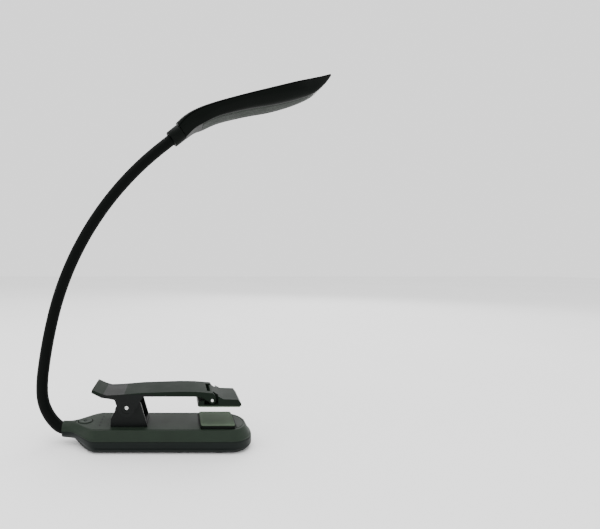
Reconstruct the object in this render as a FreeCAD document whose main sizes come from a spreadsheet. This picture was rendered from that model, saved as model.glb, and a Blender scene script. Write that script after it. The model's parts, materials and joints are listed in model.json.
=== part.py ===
import FreeCAD, Part
import math
import os
import Sketcher

# Clip-on reading lamp: a flat battery base with a sprung clip on top, a flexible neck and a slim
# hull-shaped light head. Millimetres, +Z up, X along the base, the neck leaving at -X. The origin
# is on the table under the middle of the base's full-width stretch. Everything mirrors about Y = 0.

doc = FreeCAD.newDocument("clip_reading_lamp")
V = FreeCAD.Vector

# ------------------------------------------------------------------ driving sizes

SIZES = {
    # base casing
    "base_half_length": 40.5,
    "base_half_width": 14.3,
    "split_height": 7.4,
    "base_height": 11.5,
    "wall_draft": 24.0,
    "casing_wall": 1.6,
    "floor_wall": 1.6,
    "roof_wall": 1.5,
    "roof_side_wall": 3.0,
    "nose_corner": 11.0,
    "shoulder_corner": 7.0,
    "bottom_round": 2.4,
    "shoulder_setback": 1.0,
    "taper_length": 12.1,
    "collar_wall": 0.53,
    "collar_length": 6.7,
    "underside_rise": 3.3,
    # screws
    "screw_radius": 0.9,
    "screw_gap": 0.06,
    "screw_head_radius": 1.8,
    "screw_head_depth": 1.4,
    "boss_radius": 2.5,
    "nose_boss_inset": 9.0,
    "tail_boss_inset": 7.5,
    "boss_spread": 8.6,
    # electronics
    "board_height": 6.4,
    "board_thick": 1.0,
    "board_half_width": 10.6,
    "cell_length": 34.0,
    "cell_half_width": 8.8,
    "cell_thick": 4.0,
    "cell_start": -8.0,
    "socket_half_width": 4.47,
    "socket_thick": 3.2,
    "socket_depth": 7.3,
    "socket_gap": 0.1,
    "switch_half": 2.1,
    "switch_thick": 0.9,
    "switch_stem_radius": 1.0,
    "switch_stem_rise": 0.5,
    # power button
    "button_setback": 5.2,
    "button_radius": 3.85,
    "button_gap": 0.15,
    "button_proud": 0.4,
    "button_flange": 0.55,
    "button_flange_thick": 0.7,
    "button_travel": 0.35,
    # indicator row
    "lamp_setback": 1.8,
    "lamp_pitch": 4.0,
    "lamp_length": 1.6,
    "lamp_depth": 1.0,
    "lamp_gap": 0.06,
    # rubber pad on the base
    "pad_start": 12.6,
    "pad_length": 19.2,
    "pad_half_width": 10.3,
    "pad_sink": 0.5,
    "pad_proud": 1.6,
    "pad_gap": 0.2,
    "pad_corner": 1.5,
    # clip bracket and pivot
    "bracket_start": -33.6,
    "bracket_length": 19.2,
    "ear_outer": 8.0,
    "ear_thick": 1.6,
    "bracket_floor": 1.6,
    "pivot_along": -25.1,
    "pivot_height": 21.8,
    "pivot_radius": 1.0,
    "pivot_gap": 0.05,
    "ear_round": 4.4,
    "ear_shoulder": 7.0,
    "bracket_screw_radius": 0.8,
    "bracket_screw_pitch": 11.0,
    # clip arm
    "arm_half_width": 9.8,
    "cheek_thick": 1.5,
    "cheek_round": 4.5,
    "arm_thick": 2.1,
    "arm_top": 29.9,
    "tab_start": -43.3,
    "tab_top": 31.4,
    "dip_start": -35.5,
    "dip_top": 28.5,
    "arm_end": 16.7,
    "fork_reach": 1.7,
    "fork_thick": 3.4,
    # jaw foot
    "jaw_pin_along": 19.1,
    "jaw_pin_height": 25.8,
    "jaw_pin_radius": 0.9,
    "jaw_start": 11.6,
    "jaw_length": 22.6,
    "jaw_half_width": 9.8,
    "jaw_sole": 23.1,
    "jaw_pad_thick": 0.8,
    "knuckle_gap": 0.3,
    "knuckle_top": 29.3,
    # torsion spring
    "spring_wire": 0.45,
    "spring_coil": 1.95,
    "spring_pitch": 1.15,
    "spring_turns": 7.0,
    "spring_leg_root": 0.2,
    "spring_leg_reach": 7.0,
    "spring_leg_rise": 4.5,
    "spring_foot_reach": 8.5,
    # flexible neck
    "neck_radius": 3.07,
    "neck_bore": 1.3,
    "neck_run_in": 4.7,
    "neck_run_out": 7.0,
    "neck_grip": 9.5,
    "joint_gap": 0.16,
    "first_joint": 13.3,
    "last_joint_setback": 17.5,
    "ferrule_wall": 0.4,
    "ferrule_gap": 0.04,
    "ferrule_inset": 2.3,
    "neck_mouth_gap": 0.5,
    "bend_1_radius": 8.6,
    "bend_1_turn": 42.4,
    "bend_2_radius": 24.6,
    "bend_2_turn": 45.9,
    "bend_3_radius": 72.0,
    "bend_3_turn": 8.7,
    "bend_4_radius": 267.0,
    "bend_4_turn": 6.6,
    "bend_5_radius": 165.0,
    "bend_5_turn": 38.1,
    # light head
    "head_length": 86.0,
    "head_half_width": 11.0,
    "head_wall": 1.2,
    "head_collar_radius": 4.55,
    "head_collar_length": 7.0,
    "lens_thick": 1.0,
    "lens_gap": 0.08,
    "lens_margin": 0.5,
    "led_board_thick": 0.8,
    "led_board_half_width": 2.7,
    "led_size": 2.4,
    "led_thick": 0.6,
    "wire_radius": 0.4,
}

NECK_LINKS = 8      # joints along the neck
LED_COUNT = 9       # chips on the light strip
CHEEK_ANGLE = math.radians(12.0)    # how far below the pivot the cheek's round end starts

sheet = doc.addObject("Spreadsheet::Sheet", "Sizes")
for row, (alias, value) in enumerate(SIZES.items(), start=1):
    sheet.set("A%d" % row, alias)
    sheet.set("B%d" % row, str(value))
    sheet.setAlias("B%d" % row, alias)
doc.recompute()


class Dim:
    """A length that knows both its value and the sheet expression that drives it."""

    def __init__(self, value, text):
        self.value = value
        self.text = text

    def _with(self, other, sign, value):
        return Dim(value, "(%s %s %s)" % (self.text, sign, dim(other).text))

    def __add__(self, other):
        return self._with(other, "+", self.value + dim(other).value)

    def __sub__(self, other):
        return self._with(other, "-", self.value - dim(other).value)

    def __mul__(self, other):
        return self._with(other, "*", self.value * dim(other).value)

    def __truediv__(self, other):
        return self._with(other, "/", self.value / dim(other).value)

    def __neg__(self):
        return Dim(-self.value, "(0 - %s)" % self.text)


def dim(x):
    """A Dim from a Dim or a plain number."""
    return x if isinstance(x, Dim) else Dim(float(x), "%.6g" % x if x >= 0 else "(0 - %.6g)" % -x)


def size(alias):
    """The named size from the sheet, as a Dim."""
    return Dim(float(sheet.get(alias)), "Sizes.%s" % alias)


def mm(alias):
    """The named size from the sheet, as a number."""
    return float(sheet.get(alias))


def bind(obj, prop, value):
    """Drives a property from the sheet."""
    obj.setExpression(prop, dim(value).text)


# ------------------------------------------------------------------ sketch and feature helpers

PARTS = []          # the sub-parts, in the order they are made


def sub_part(obj, label):
    obj.Label = label
    PARTS.append(obj)
    return obj


def new_body(label):
    return sub_part(doc.addObject("PartDesign::Body", label), label)


def sketch(body, name, plane, rise=0.0):
    """An empty sketch on one of the body's origin planes, raised along the plane's normal."""
    sk = body.newObject("Sketcher::SketchObject", name)
    datum = [f for f in body.Origin.OriginFeatures if f.Role == plane][0]
    sk.AttachmentSupport = [(datum, "")]
    sk.MapMode = "FlatFace"
    bind(sk, "AttachmentOffset.Base.z", rise)
    return sk


def pin_point(sk, geo, end, x, y, tag):
    """Holds one point of the sketch at (x, y) from the origin."""
    for kind, value, axis in (("DistanceX", x, "x"), ("DistanceY", y, "y")):
        value = dim(value)
        n = sk.addConstraint(Sketcher.Constraint(kind, -1, 1, geo, end, value.value))
        name = "%s_%s" % (tag, axis)
        sk.renameConstraint(n, name)
        sk.setExpression("Constraints." + name, value.text)


def polygon(sk, points):
    """A closed outline of straight lines, every corner held by its own two expressions."""
    base = sk.GeometryCount
    places = [V(dim(x).value, dim(y).value, 0) for x, y in points]
    count = len(points)
    for n in range(count):
        sk.addGeometry(Part.LineSegment(places[n], places[(n + 1) % count]), False)
    for n in range(count):
        sk.addConstraint(Sketcher.Constraint("Coincident", base + n, 2, base + (n + 1) % count, 1))
    for n, (x, y) in enumerate(points):
        pin_point(sk, base + n, 1, x, y, "p%d_%d" % (base, n))
    return sk


def outline(sk, points):
    """A closed outline of lines and arcs. A point is (x, y), or (x, y, radius) where an arc of that
    radius, turning left, leads from it to the next point."""
    base = sk.GeometryCount
    count = len(points)
    for n in range(count):
        x, y = (dim(v).value for v in points[n][:2])
        x1, y1 = (dim(v).value for v in points[(n + 1) % count][:2])
        if len(points[n]) == 2:
            sk.addGeometry(Part.LineSegment(V(x, y, 0), V(x1, y1, 0)), False)
            continue
        radius = dim(points[n][2])
        dx, dy = (x1 - x) / 2, (y1 - y) / 2
        back = math.sqrt(max(radius.value ** 2 - dx ** 2 - dy ** 2, 0.0)) / math.hypot(dx, dy)
        cx, cy = x + dx - dy * back, y + dy + dx * back
        ring = Part.Circle(V(cx, cy, 0), V(0, 0, 1), radius.value)
        arc = Part.ArcOfCircle(ring, math.atan2(y - cy, x - cx), math.atan2(y1 - cy, x1 - cx))
        sk.addGeometry(arc, False)
        c = sk.addConstraint(Sketcher.Constraint("Radius", base + n, radius.value))
        sk.renameConstraint(c, "arc_%d" % n)
        sk.setExpression("Constraints.arc_%d" % n, radius.text)
    for n in range(count):
        sk.addConstraint(Sketcher.Constraint("Coincident", base + n, 2, base + (n + 1) % count, 1))
        pin_point(sk, base + n, 1, points[n][0], points[n][1], "p%d_%d" % (base, n))
    return sk


def rectangle(sk, x0, y0, x1, y1):
    return polygon(sk, [(x0, y0), (x1, y0), (x1, y1), (x0, y1)])


def circle(sk, x, y, radius):
    radius = dim(radius)
    geo = sk.addGeometry(Part.Circle(V(dim(x).value, dim(y).value, 0), V(0, 0, 1), radius.value), False)
    pin_point(sk, geo, 3, x, y, "c%d" % geo)
    n = sk.addConstraint(Sketcher.Constraint("Radius", geo, radius.value))
    sk.renameConstraint(n, "c%d_r" % geo)
    sk.setExpression("Constraints.c%d_r" % geo, radius.text)
    return sk


def settle(feature):
    """Recomputes and makes sure that the feature worked."""
    doc.recompute()
    if {"Invalid", "Error"} & set(feature.State) or feature.Shape.isNull():
        raise RuntimeError("%s failed: %s" % (feature.Name, feature.State))
    return feature


def pad(body, sk, length, taper=None, both=False, backwards=False):
    """Adds material up from the sketch, or both ways, or down."""
    f = body.newObject("PartDesign::Pad", sk.Name + "_pad")
    f.Profile = sk
    bind(f, "Length", length)
    f.Midplane = both
    f.Reversed = backwards
    if taper is not None:
        bind(f, "TaperAngle", taper)
    return settle(f)


def pocket(body, sk, length=None, upwards=False, both=False):
    """Cuts from the sketch, down by default, or right through when no length is given."""
    f = body.newObject("PartDesign::Pocket", sk.Name + "_cut")
    f.Profile = sk
    if length is None:
        f.Type = "ThroughAll"
    else:
        bind(f, "Length", length)
    f.Midplane = both
    f.Reversed = upwards
    before = volume_of(f.BaseFeature)
    settle(f)
    if before - f.Shape.Volume < 1e-3:
        raise RuntimeError("%s cuts nothing" % f.Name)
    return f


def volume_of(feature):
    return feature.Shape.Volume if feature is not None else 0.0


def edge_names(shape, wanted):
    return ["Edge%d" % n for n, e in enumerate(shape.Edges, start=1) if wanted(e)]


def round_edges(body, wanted, radius):
    """Fillets the edges of the body's tip that the test picks."""
    tip = body.Tip
    names = edge_names(tip.Shape, wanted)
    if not names:
        raise RuntimeError("no edge to round on %s" % body.Label)
    f = body.newObject("PartDesign::Fillet", "%s_round_%d" % (body.Name, len(body.Group)))
    f.Base = (tip, names)
    bind(f, "Radius", radius)
    return settle(f)


def upright(edge, x=None):
    """True for an edge that climbs, at about the given X when one is given."""
    b = edge.BoundBox
    if b.ZLength < 0.5 or b.ZLength < 1.5 * max(b.XLength, b.YLength):
        return False
    return x is None or abs((b.XMin + b.XMax) / 2 - x) < 2.6


def solid_part(label, shape):
    """A sub-part whose shape is made with Part's own functions."""
    f = doc.addObject("Part::Feature", label)
    f.Shape = shape
    return sub_part(f, label)


def bound_box(name, corner, sides):
    """A Part::Box driven from the sheet: its low corner and its three sides."""
    b = doc.addObject("Part::Box", name)
    for prop, value in zip(("Length", "Width", "Height"), sides):
        bind(b, prop, value)
    for axis, value in zip("xyz", corner):
        bind(b, "Placement.Base." + axis, value)
    return b


def bound_cylinder(name, start, radius, length, along):
    """A Part::Cylinder driven from the sheet, from a start point along an axis."""
    c = doc.addObject("Part::Cylinder", name)
    turn = {"z": (V(0, 0, 1), 0), "x": (V(0, 1, 0), 90), "y": (V(1, 0, 0), -90)}[along]
    c.Placement = FreeCAD.Placement(V(0, 0, 0), FreeCAD.Rotation(*turn))
    bind(c, "Radius", radius)
    bind(c, "Height", length)
    for axis, value in zip("xyz", start):
        bind(c, "Placement.Base." + axis, value)
    return c


def joined(name, shapes):
    f = doc.addObject("Part::MultiFuse", name)
    f.Shapes = shapes
    return f


def grouped(name, shapes):
    """Separate solids kept side by side in one object."""
    f = doc.addObject("Part::Compound", name)
    f.Links = shapes
    return f


def taken(name, base, tool):
    f = doc.addObject("Part::Cut", name)
    f.Base = base
    f.Tool = tool
    return f


# ------------------------------------------------------------------ shared places

nose_x = size("base_half_length")
shoulder_x = -size("base_half_length") - size("shoulder_setback")
neck_root_x = shoulder_x - size("taper_length")
collar_end_x = neck_root_x - size("collar_length")
half = size("base_half_width")
split = size("split_height")
top = size("base_height")
ceiling = top - size("roof_wall")
neck_z = split
button_x = neck_root_x + size("button_setback")
lamp_x = shoulder_x + size("lamp_setback")
board_top = size("board_height") + size("board_thick")
boss_places = [
    (nose_x - size("nose_boss_inset"), size("boss_spread")),
    (nose_x - size("nose_boss_inset"), -size("boss_spread")),
    (shoulder_x + size("tail_boss_inset"), size("boss_spread")),
    (shoulder_x + size("tail_boss_inset"), -size("boss_spread")),
]
lamp_rows = [-1.5, -0.5, 0.5, 1.5]
ferrule_radius = size("neck_radius") + size("ferrule_gap") + size("ferrule_wall")
collar_radius = size("neck_radius") + size("neck_mouth_gap") + size("collar_wall")
ferrule_end = collar_end_x + size("ferrule_inset")
bracket_end = size("bracket_start") + size("bracket_length")
bracket_mid = size("bracket_start") + size("bracket_length") / 2
jaw_end = size("jaw_start") + size("jaw_length")
jaw_pad_under = size("jaw_sole") - size("jaw_pad_thick")


def casing_outline(inset, tail_cut=None):
    """The casing's plan outline at the split, moved in by the given wall, with its round nose
    corners. With tail_cut it stops square at that X on the tapered tail."""
    inset = dim(inset)
    lean = inset * 0.45
    corner = size("nose_corner")
    side = half - inset
    nose = nose_x - inset
    tail_x = neck_root_x + lean + inset * 0.2
    tail_y = collar_radius - inset * 0.6
    if tail_cut is not None:
        slope = (side - tail_y) / (shoulder_x + lean - tail_x)
        tail_y = tail_y + slope * (tail_cut - tail_x)
        tail_x = tail_cut
    return [
        (nose, half - corner, corner - inset),
        (nose_x - corner, side),
        (shoulder_x + lean, side),
        (tail_x, tail_y),
        (tail_x, -tail_y),
        (shoulder_x + lean, -side),
        (nose_x - corner, -side, corner - inset),
        (nose, -(half - corner)),
    ]


# ------------------------------------------------------------------ base casing

def make_lower_shell():
    """The tray: floor, walls, screw bosses, socket window and the lower half of the neck collar."""
    body = new_body("lower_shell")
    pad(body, outline(sketch(body, "tray_plan", "XY_Plane"), casing_outline(0)), split)
    round_edges(body, lambda e: upright(e, shoulder_x.value), size("shoulder_corner"))
    round_edges(body, lambda e: e.BoundBox.ZMax < 0.01, size("bottom_round"))
    wall = size("casing_wall")
    cavity = sketch(body, "tray_hollow", "XY_Plane", split)
    main_room = casing_outline(wall, shoulder_x - size("shoulder_setback") - 1.5)
    pocket(body, outline(cavity, main_room), split - size("floor_wall"))
    tail_room = sketch(body, "tail_hollow", "XY_Plane", split)
    tail_floor = size("underside_rise") + size("floor_wall")
    pocket(body, outline(tail_room, casing_outline(wall)), split - tail_floor)
    rise = sketch(body, "tail_lift", "XZ_Plane")
    lift_start = shoulder_x - 1.5
    polygon(rise, [
        (lift_start, -1.0),
        (lift_start, 0.0),
        (neck_root_x - 1.0, size("underside_rise")),
        (neck_root_x - 1.0, -1.0),
    ])
    pocket(body, rise, half * 2 + 2, both=True)
    bosses = sketch(body, "boss_ring", "XY_Plane")
    for x, y in boss_places:
        circle(bosses, x, y, size("boss_radius"))
    pad(body, bosses, split)
    posts = sketch(body, "board_posts", "XY_Plane")
    for x in (size("cell_start") + size("cell_length") + 2.4, size("cell_start") - 14.0):
        for side in (-1, 1):
            circle(posts, x, (size("board_half_width") - 0.6) * side, 1.0)
    pad(body, posts, size("board_height"))
    collar = sketch(body, "collar_half", "YZ_Plane", neck_root_x + 3.0)
    circle(collar, 0, neck_z, collar_radius)
    pad(body, collar, size("collar_length") + 3.0, backwards=True)
    trim = sketch(body, "collar_trim", "XY_Plane", split)
    rectangle(trim, collar_end_x - 1.0, -half - 1, nose_x + 1, half + 1)
    pocket(body, trim, split, upwards=True)
    bore_neck(body)
    holes = sketch(body, "screw_ways", "XY_Plane")
    for x, y in boss_places:
        circle(holes, x, y, size("screw_radius") + 0.2)
    pocket(body, holes, split, upwards=True)
    seats = sketch(body, "screw_seats", "XY_Plane")
    for x, y in boss_places:
        circle(seats, x, y, size("screw_head_radius") + 0.2)
    pocket(body, seats, size("screw_head_depth") + 0.4, upwards=True)
    window = sketch(body, "socket_window", "YZ_Plane", nose_x - 6.0)
    reach = size("socket_half_width") + size("socket_gap")
    rectangle(
        window,
        -reach,
        size("board_height") - size("socket_thick") - size("socket_gap"),
        reach,
        size("board_height") + size("socket_gap"),
    )
    pocket(body, window, dim(8.0), upwards=True)
    return body


def bore_neck(body):
    """The stepped bore that holds the neck's end: a narrow mouth, then a seat for the ferrule."""
    mouth = sketch(body, body.Name + "_mouth", "YZ_Plane", collar_end_x - 1.0)
    circle(mouth, 0, neck_z, size("neck_radius") + size("neck_mouth_gap"))
    pocket(body, mouth, size("collar_length") + 4.0, upwards=True)
    seat = sketch(body, body.Name + "_seat", "YZ_Plane", ferrule_end)
    circle(seat, 0, neck_z, ferrule_radius + size("ferrule_gap"))
    pocket(body, seat, size("collar_length") + 1.2, upwards=True)


def make_upper_shell():
    """The lid: drafted sides, roof with its openings, bosses and the upper half of the collar."""
    body = new_body("upper_shell")
    plan = outline(sketch(body, "lid_plan", "XY_Plane", split), casing_outline(0))
    pad(body, plan, top - split, taper=-size("wall_draft"))
    round_edges(body, lambda e: upright_slant(e, shoulder_x.value + 1.0), size("shoulder_corner"))
    round_edges(body, lambda e: e.BoundBox.ZMin > top.value - 0.01 and e.BoundBox.XMax > -45.0, 0.6)
    collar = sketch(body, "collar_half_up", "YZ_Plane", neck_root_x + 4.0)
    circle(collar, 0, neck_z, collar_radius)
    pad(body, collar, size("collar_length") + 4.0, backwards=True)
    trim = sketch(body, "collar_trim_up", "XY_Plane", split)
    rectangle(trim, collar_end_x - 1.0, -half - 1, nose_x + 1, half + 1)
    pocket(body, trim, split)
    hollow = sketch(body, "lid_hollow", "XY_Plane", split)
    side = size("roof_side_wall")
    pocket(body, outline(hollow, casing_outline(side)), ceiling - split, upwards=True)
    bore_neck(body)
    well = sketch(body, "button_well", "XY_Plane", split)
    circle(well, button_x, 0, size("button_radius") + size("button_flange") + 0.3)
    pocket(body, well, ceiling - split, upwards=True)
    bosses = sketch(body, "lid_bosses", "XY_Plane", split)
    for x, y in boss_places:
        circle(bosses, x, y, size("boss_radius") - 0.3)
    pad(body, bosses, ceiling - split + 0.2)
    pilots = sketch(body, "lid_pilots", "XY_Plane", split)
    for x, y in boss_places:
        circle(pilots, x, y, size("screw_radius") + size("screw_gap"))
    pocket(body, pilots, ceiling - split, upwards=True)
    ways = sketch(body, "roof_ways", "XY_Plane", top + 1.0)
    circle(ways, button_x, 0, size("button_radius") + size("button_gap"))
    for row in lamp_rows:
        y = size("lamp_pitch") * row
        rectangle(
            ways,
            lamp_x - size("lamp_depth") / 2,
            y - size("lamp_length") / 2,
            lamp_x + size("lamp_depth") / 2,
            y + size("lamp_length") / 2,
        )
    for n in (-0.5, 0.5):
        circle(ways, bracket_mid + size("bracket_screw_pitch") * n, 0, size("bracket_screw_radius") + 0.1)
    pocket(body, ways, size("roof_wall") + 1.5)
    recess = sketch(body, "pad_recess", "XY_Plane", top)
    rectangle(
        recess,
        size("pad_start"),
        -size("pad_half_width") - size("pad_gap"),
        size("pad_start") + size("pad_length"),
        size("pad_half_width") + size("pad_gap"),
    )
    pocket(body, recess, size("pad_sink"))
    return body


def upright_slant(edge, x):
    """True for a leaning corner edge of the lid near the given X."""
    b = edge.BoundBox
    return b.ZLength > 3.0 and abs((b.XMin + b.XMax) / 2 - x) < 2.4 and abs(b.YMin + b.YMax) > 12


def make_base_pad():
    """The soft pad that the clip's foot closes on."""
    body = new_body("base_pad")
    gap = size("pad_gap")
    plan = sketch(body, "base_pad_plan", "XY_Plane", top - size("pad_sink"))
    rectangle(
        plan,
        size("pad_start") + gap,
        -size("pad_half_width"),
        size("pad_start") + size("pad_length") - gap,
        size("pad_half_width"),
    )
    pad(body, plan, size("pad_sink") + size("pad_proud"))
    round_edges(body, lambda e: upright(e), size("pad_corner"))
    round_edges(body, lambda e: e.BoundBox.ZMin > (top + size("pad_proud")).value - 0.01, 0.5)
    return body


def make_shell_screws():
    """Four screws that come up through the tray into the lid."""
    screws = []
    for n, (x, y) in enumerate(boss_places):
        head = bound_cylinder(
            "case_screw_head_%d" % n, (x, y, 0.4), size("screw_head_radius"), size("screw_head_depth"), "z"
        )
        shank = bound_cylinder(
            "case_screw_shank_%d" % n,
            (x, y, size("screw_head_depth")),
            size("screw_radius"),
            ceiling - size("screw_head_depth") - 0.5,
            "z",
        )
        screw = joined("case_screw_body_%d" % n, [head, shank])
        slot_half = size("screw_head_radius") * 0.6
        slots = [
            bound_box(
                "case_screw_slot_%d_%d" % (n, turn),
                (x - (slot_half if turn else 0.2), y - (0.2 if turn else slot_half), 0.3),
                (slot_half * 2 if turn else dim(0.4), dim(0.4) if turn else slot_half * 2, 0.7),
            )
            for turn in (0, 1)
        ]
        screws.append(taken("case_screw_%d" % n, screw, joined("case_screw_cross_%d" % n, slots)))
    sub_part(grouped("case_screws", screws), "case_screws")


# ------------------------------------------------------------------ electronics

def make_board():
    """The circuit board, stepped in where the screw bosses pass."""
    body = new_body("circuit_board")
    z = size("board_height")
    wide = size("board_half_width")
    tail = shoulder_x + size("tail_boss_inset")
    nose = nose_x - size("nose_boss_inset")
    slim = size("boss_spread") - size("boss_radius") - 0.3
    tongue = size("switch_half") + 2.0
    right = [
        (nose_x - size("casing_wall") - 0.6, slim - 0.6),
        (nose - size("boss_radius") - 0.5, slim - 0.6),
        (nose - size("boss_radius") - 0.5, wide),
        (tail + size("boss_radius") + 0.5, wide),
        (tail + size("boss_radius") + 0.5, slim),
        (tail - size("boss_radius") - 0.5, slim),
        (tail - size("boss_radius") - 0.5, slim + 2.2),
        (lamp_x - 2.6, slim + 2.2),
        (lamp_x - 4.6, tongue),
        (button_x - size("switch_half") - 0.1, tongue),
    ]
    outline = right + [(x, -y) for x, y in reversed(right)]
    pad(body, polygon(sketch(body, "board_plan", "XY_Plane", z), outline), size("board_thick"))
    return body


def make_electronics():
    """Cell, charging socket, button switch and the four small lamps on the board."""
    cell = new_body("battery_cell")
    plan = sketch(cell, "cell_plan", "XY_Plane", size("floor_wall") + 0.2)
    rectangle(
        plan,
        size("cell_start"),
        -size("cell_half_width"),
        size("cell_start") + size("cell_length"),
        size("cell_half_width"),
    )
    pad(cell, plan, size("cell_thick"))
    round_edges(cell, lambda e: e.BoundBox.XLength > 10, size("cell_thick") * 0.4)

    socket_low = size("board_height") - size("socket_thick")
    socket_start = nose_x - size("socket_depth") - 0.3
    shell = bound_box(
        "socket_shell",
        (socket_start, -size("socket_half_width"), socket_low),
        (size("socket_depth"), size("socket_half_width") * 2, size("socket_thick")),
    )
    mouth = bound_box(
        "socket_mouth",
        (socket_start + 1.2, -size("socket_half_width") + 0.35, socket_low + 0.35),
        (size("socket_depth"), size("socket_half_width") * 2 - 0.7, size("socket_thick") - 0.7),
    )
    tongue = bound_box(
        "socket_tongue",
        (socket_start + 1.0, -size("socket_half_width") * 0.72, socket_low + size("socket_thick") / 2 - 0.35),
        (size("socket_depth") - 1.8, size("socket_half_width") * 1.44, 0.7),
    )
    sub_part(joined("charge_socket", [taken("socket_can", shell, mouth), tongue]), "charge_socket")

    case = bound_box(
        "switch_case",
        (button_x - size("switch_half"), -size("switch_half"), board_top),
        (size("switch_half") * 2, size("switch_half") * 2, size("switch_thick")),
    )
    stem = bound_cylinder(
        "switch_stem",
        (button_x, 0, board_top + size("switch_thick") - 0.2),
        size("switch_stem_radius"),
        size("switch_stem_rise") + 0.2,
        "z",
    )
    sub_part(joined("button_switch", [case, stem]), "button_switch")

    chips = []
    pipes = []
    for n, row in enumerate(lamp_rows):
        y = size("lamp_pitch") * row
        chips.append(bound_box(
            "indicator_chip_%d" % n, (lamp_x - 0.4, y - 0.8, board_top), (0.8, 1.6, 0.6)
        ))
        pipes.append(bound_box(
            "indicator_pipe_%d" % n,
            (
                lamp_x - size("lamp_depth") / 2 + size("lamp_gap"),
                y - size("lamp_length") / 2 + size("lamp_gap"),
                board_top + 0.9,
            ),
            (
                size("lamp_depth") - size("lamp_gap") * 2,
                size("lamp_length") - size("lamp_gap") * 2,
                top - board_top - 0.95,
            ),
        ))
    sub_part(grouped("indicator_leds", chips), "indicator_leds")
    sub_part(grouped("indicator_windows", pipes), "indicator_windows")


def make_button():
    """The power button: a cap in the roof's round opening, held by a flange under the roof."""
    body = new_body("power_button")
    flange_low = ceiling - size("button_flange_thick") - 0.1
    under = sketch(body, "button_flange_plan", "XY_Plane", flange_low)
    circle(under, button_x, 0, size("button_radius") + size("button_flange"))
    pad(body, under, size("button_flange_thick"))
    cap = sketch(body, "button_cap_plan", "XY_Plane", flange_low)
    circle(cap, button_x, 0, size("button_radius"))
    pad(body, cap, top + size("button_proud") - flange_low)
    round_edges(body, lambda e: e.BoundBox.ZMin > top.value + 0.2, 0.3)
    return body


# ------------------------------------------------------------------ clip

def make_bracket():
    """The clip's mount: a floor plate on the roof with two ears that carry the pivot pin."""
    body = new_body("clip_bracket")
    x0 = size("bracket_start")
    px = size("pivot_along")
    pz = size("pivot_height")
    side = sketch(body, "ear_side", "XZ_Plane")
    reach = size("ear_round")
    polygon(side, [
        (x0, top),
        (bracket_end, top),
        (px + size("ear_shoulder"), pz + 2.2),
        (px + size("ear_shoulder") - 2.4, pz + 3.8),
        (px + reach * 0.3, pz + reach),
        (px - reach * 0.62, pz + reach),
        (px - reach * 1.06, pz + reach * 0.25),
        (x0 + 0.1, top + 4.2),
    ])
    pad(body, side, size("ear_outer") * 2, both=True)
    gap = sketch(body, "ear_gap", "YZ_Plane", x0 - 1.0)
    inner = size("ear_outer") - size("ear_thick")
    rectangle(gap, -inner, top + size("bracket_floor"), inner, pz + reach + 1.0)
    pocket(body, gap, size("bracket_length") + 2.0, upwards=True)
    ways = sketch(body, "bracket_ways", "XY_Plane", top)
    for n in (-0.5, 0.5):
        circle(ways, bracket_mid + size("bracket_screw_pitch") * n, 0, size("bracket_screw_radius") + 0.03)
    pocket(body, ways, size("bracket_floor") - 0.3, upwards=True)
    hole = sketch(body, "pivot_way", "XZ_Plane")
    circle(hole, px, pz, size("pivot_radius") + 0.02)
    pocket(body, hole, size("ear_outer") * 2 + 2, both=True)
    return body


def make_bracket_screws():
    """Two screws that hold the bracket from inside the roof."""
    screws = []
    for n, place in enumerate((-0.5, 0.5)):
        x = bracket_mid + size("bracket_screw_pitch") * place
        head = bound_cylinder(
            "bracket_screw_head_%d" % n, (x, 0, ceiling - 1.1), size("bracket_screw_radius") * 2, 1.1, "z"
        )
        shank = bound_cylinder(
            "bracket_screw_shank_%d" % n,
            (x, 0, ceiling - 0.5),
            size("bracket_screw_radius"),
            size("roof_wall") + size("bracket_floor") - 0.1,
            "z",
        )
        screws.append(joined("bracket_screw_%d" % n, [head, shank]))
    sub_part(grouped("bracket_screws", screws), "bracket_screws")


def make_pins():
    """The clip's steel pivot pin and the smaller pin of the jaw foot."""
    reach = size("arm_half_width") - 0.05
    sub_part(
        bound_cylinder(
            "clip_pivot_pin",
            (size("pivot_along"), -reach, size("pivot_height")),
            size("pivot_radius"),
            reach * 2,
            "y",
        ),
        "clip_pivot_pin",
    )
    sub_part(
        bound_cylinder(
            "jaw_pin",
            (size("jaw_pin_along"), -reach, size("jaw_pin_height")),
            size("jaw_pin_radius"),
            reach * 2,
            "y",
        ),
        "jaw_pin",
    )


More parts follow.
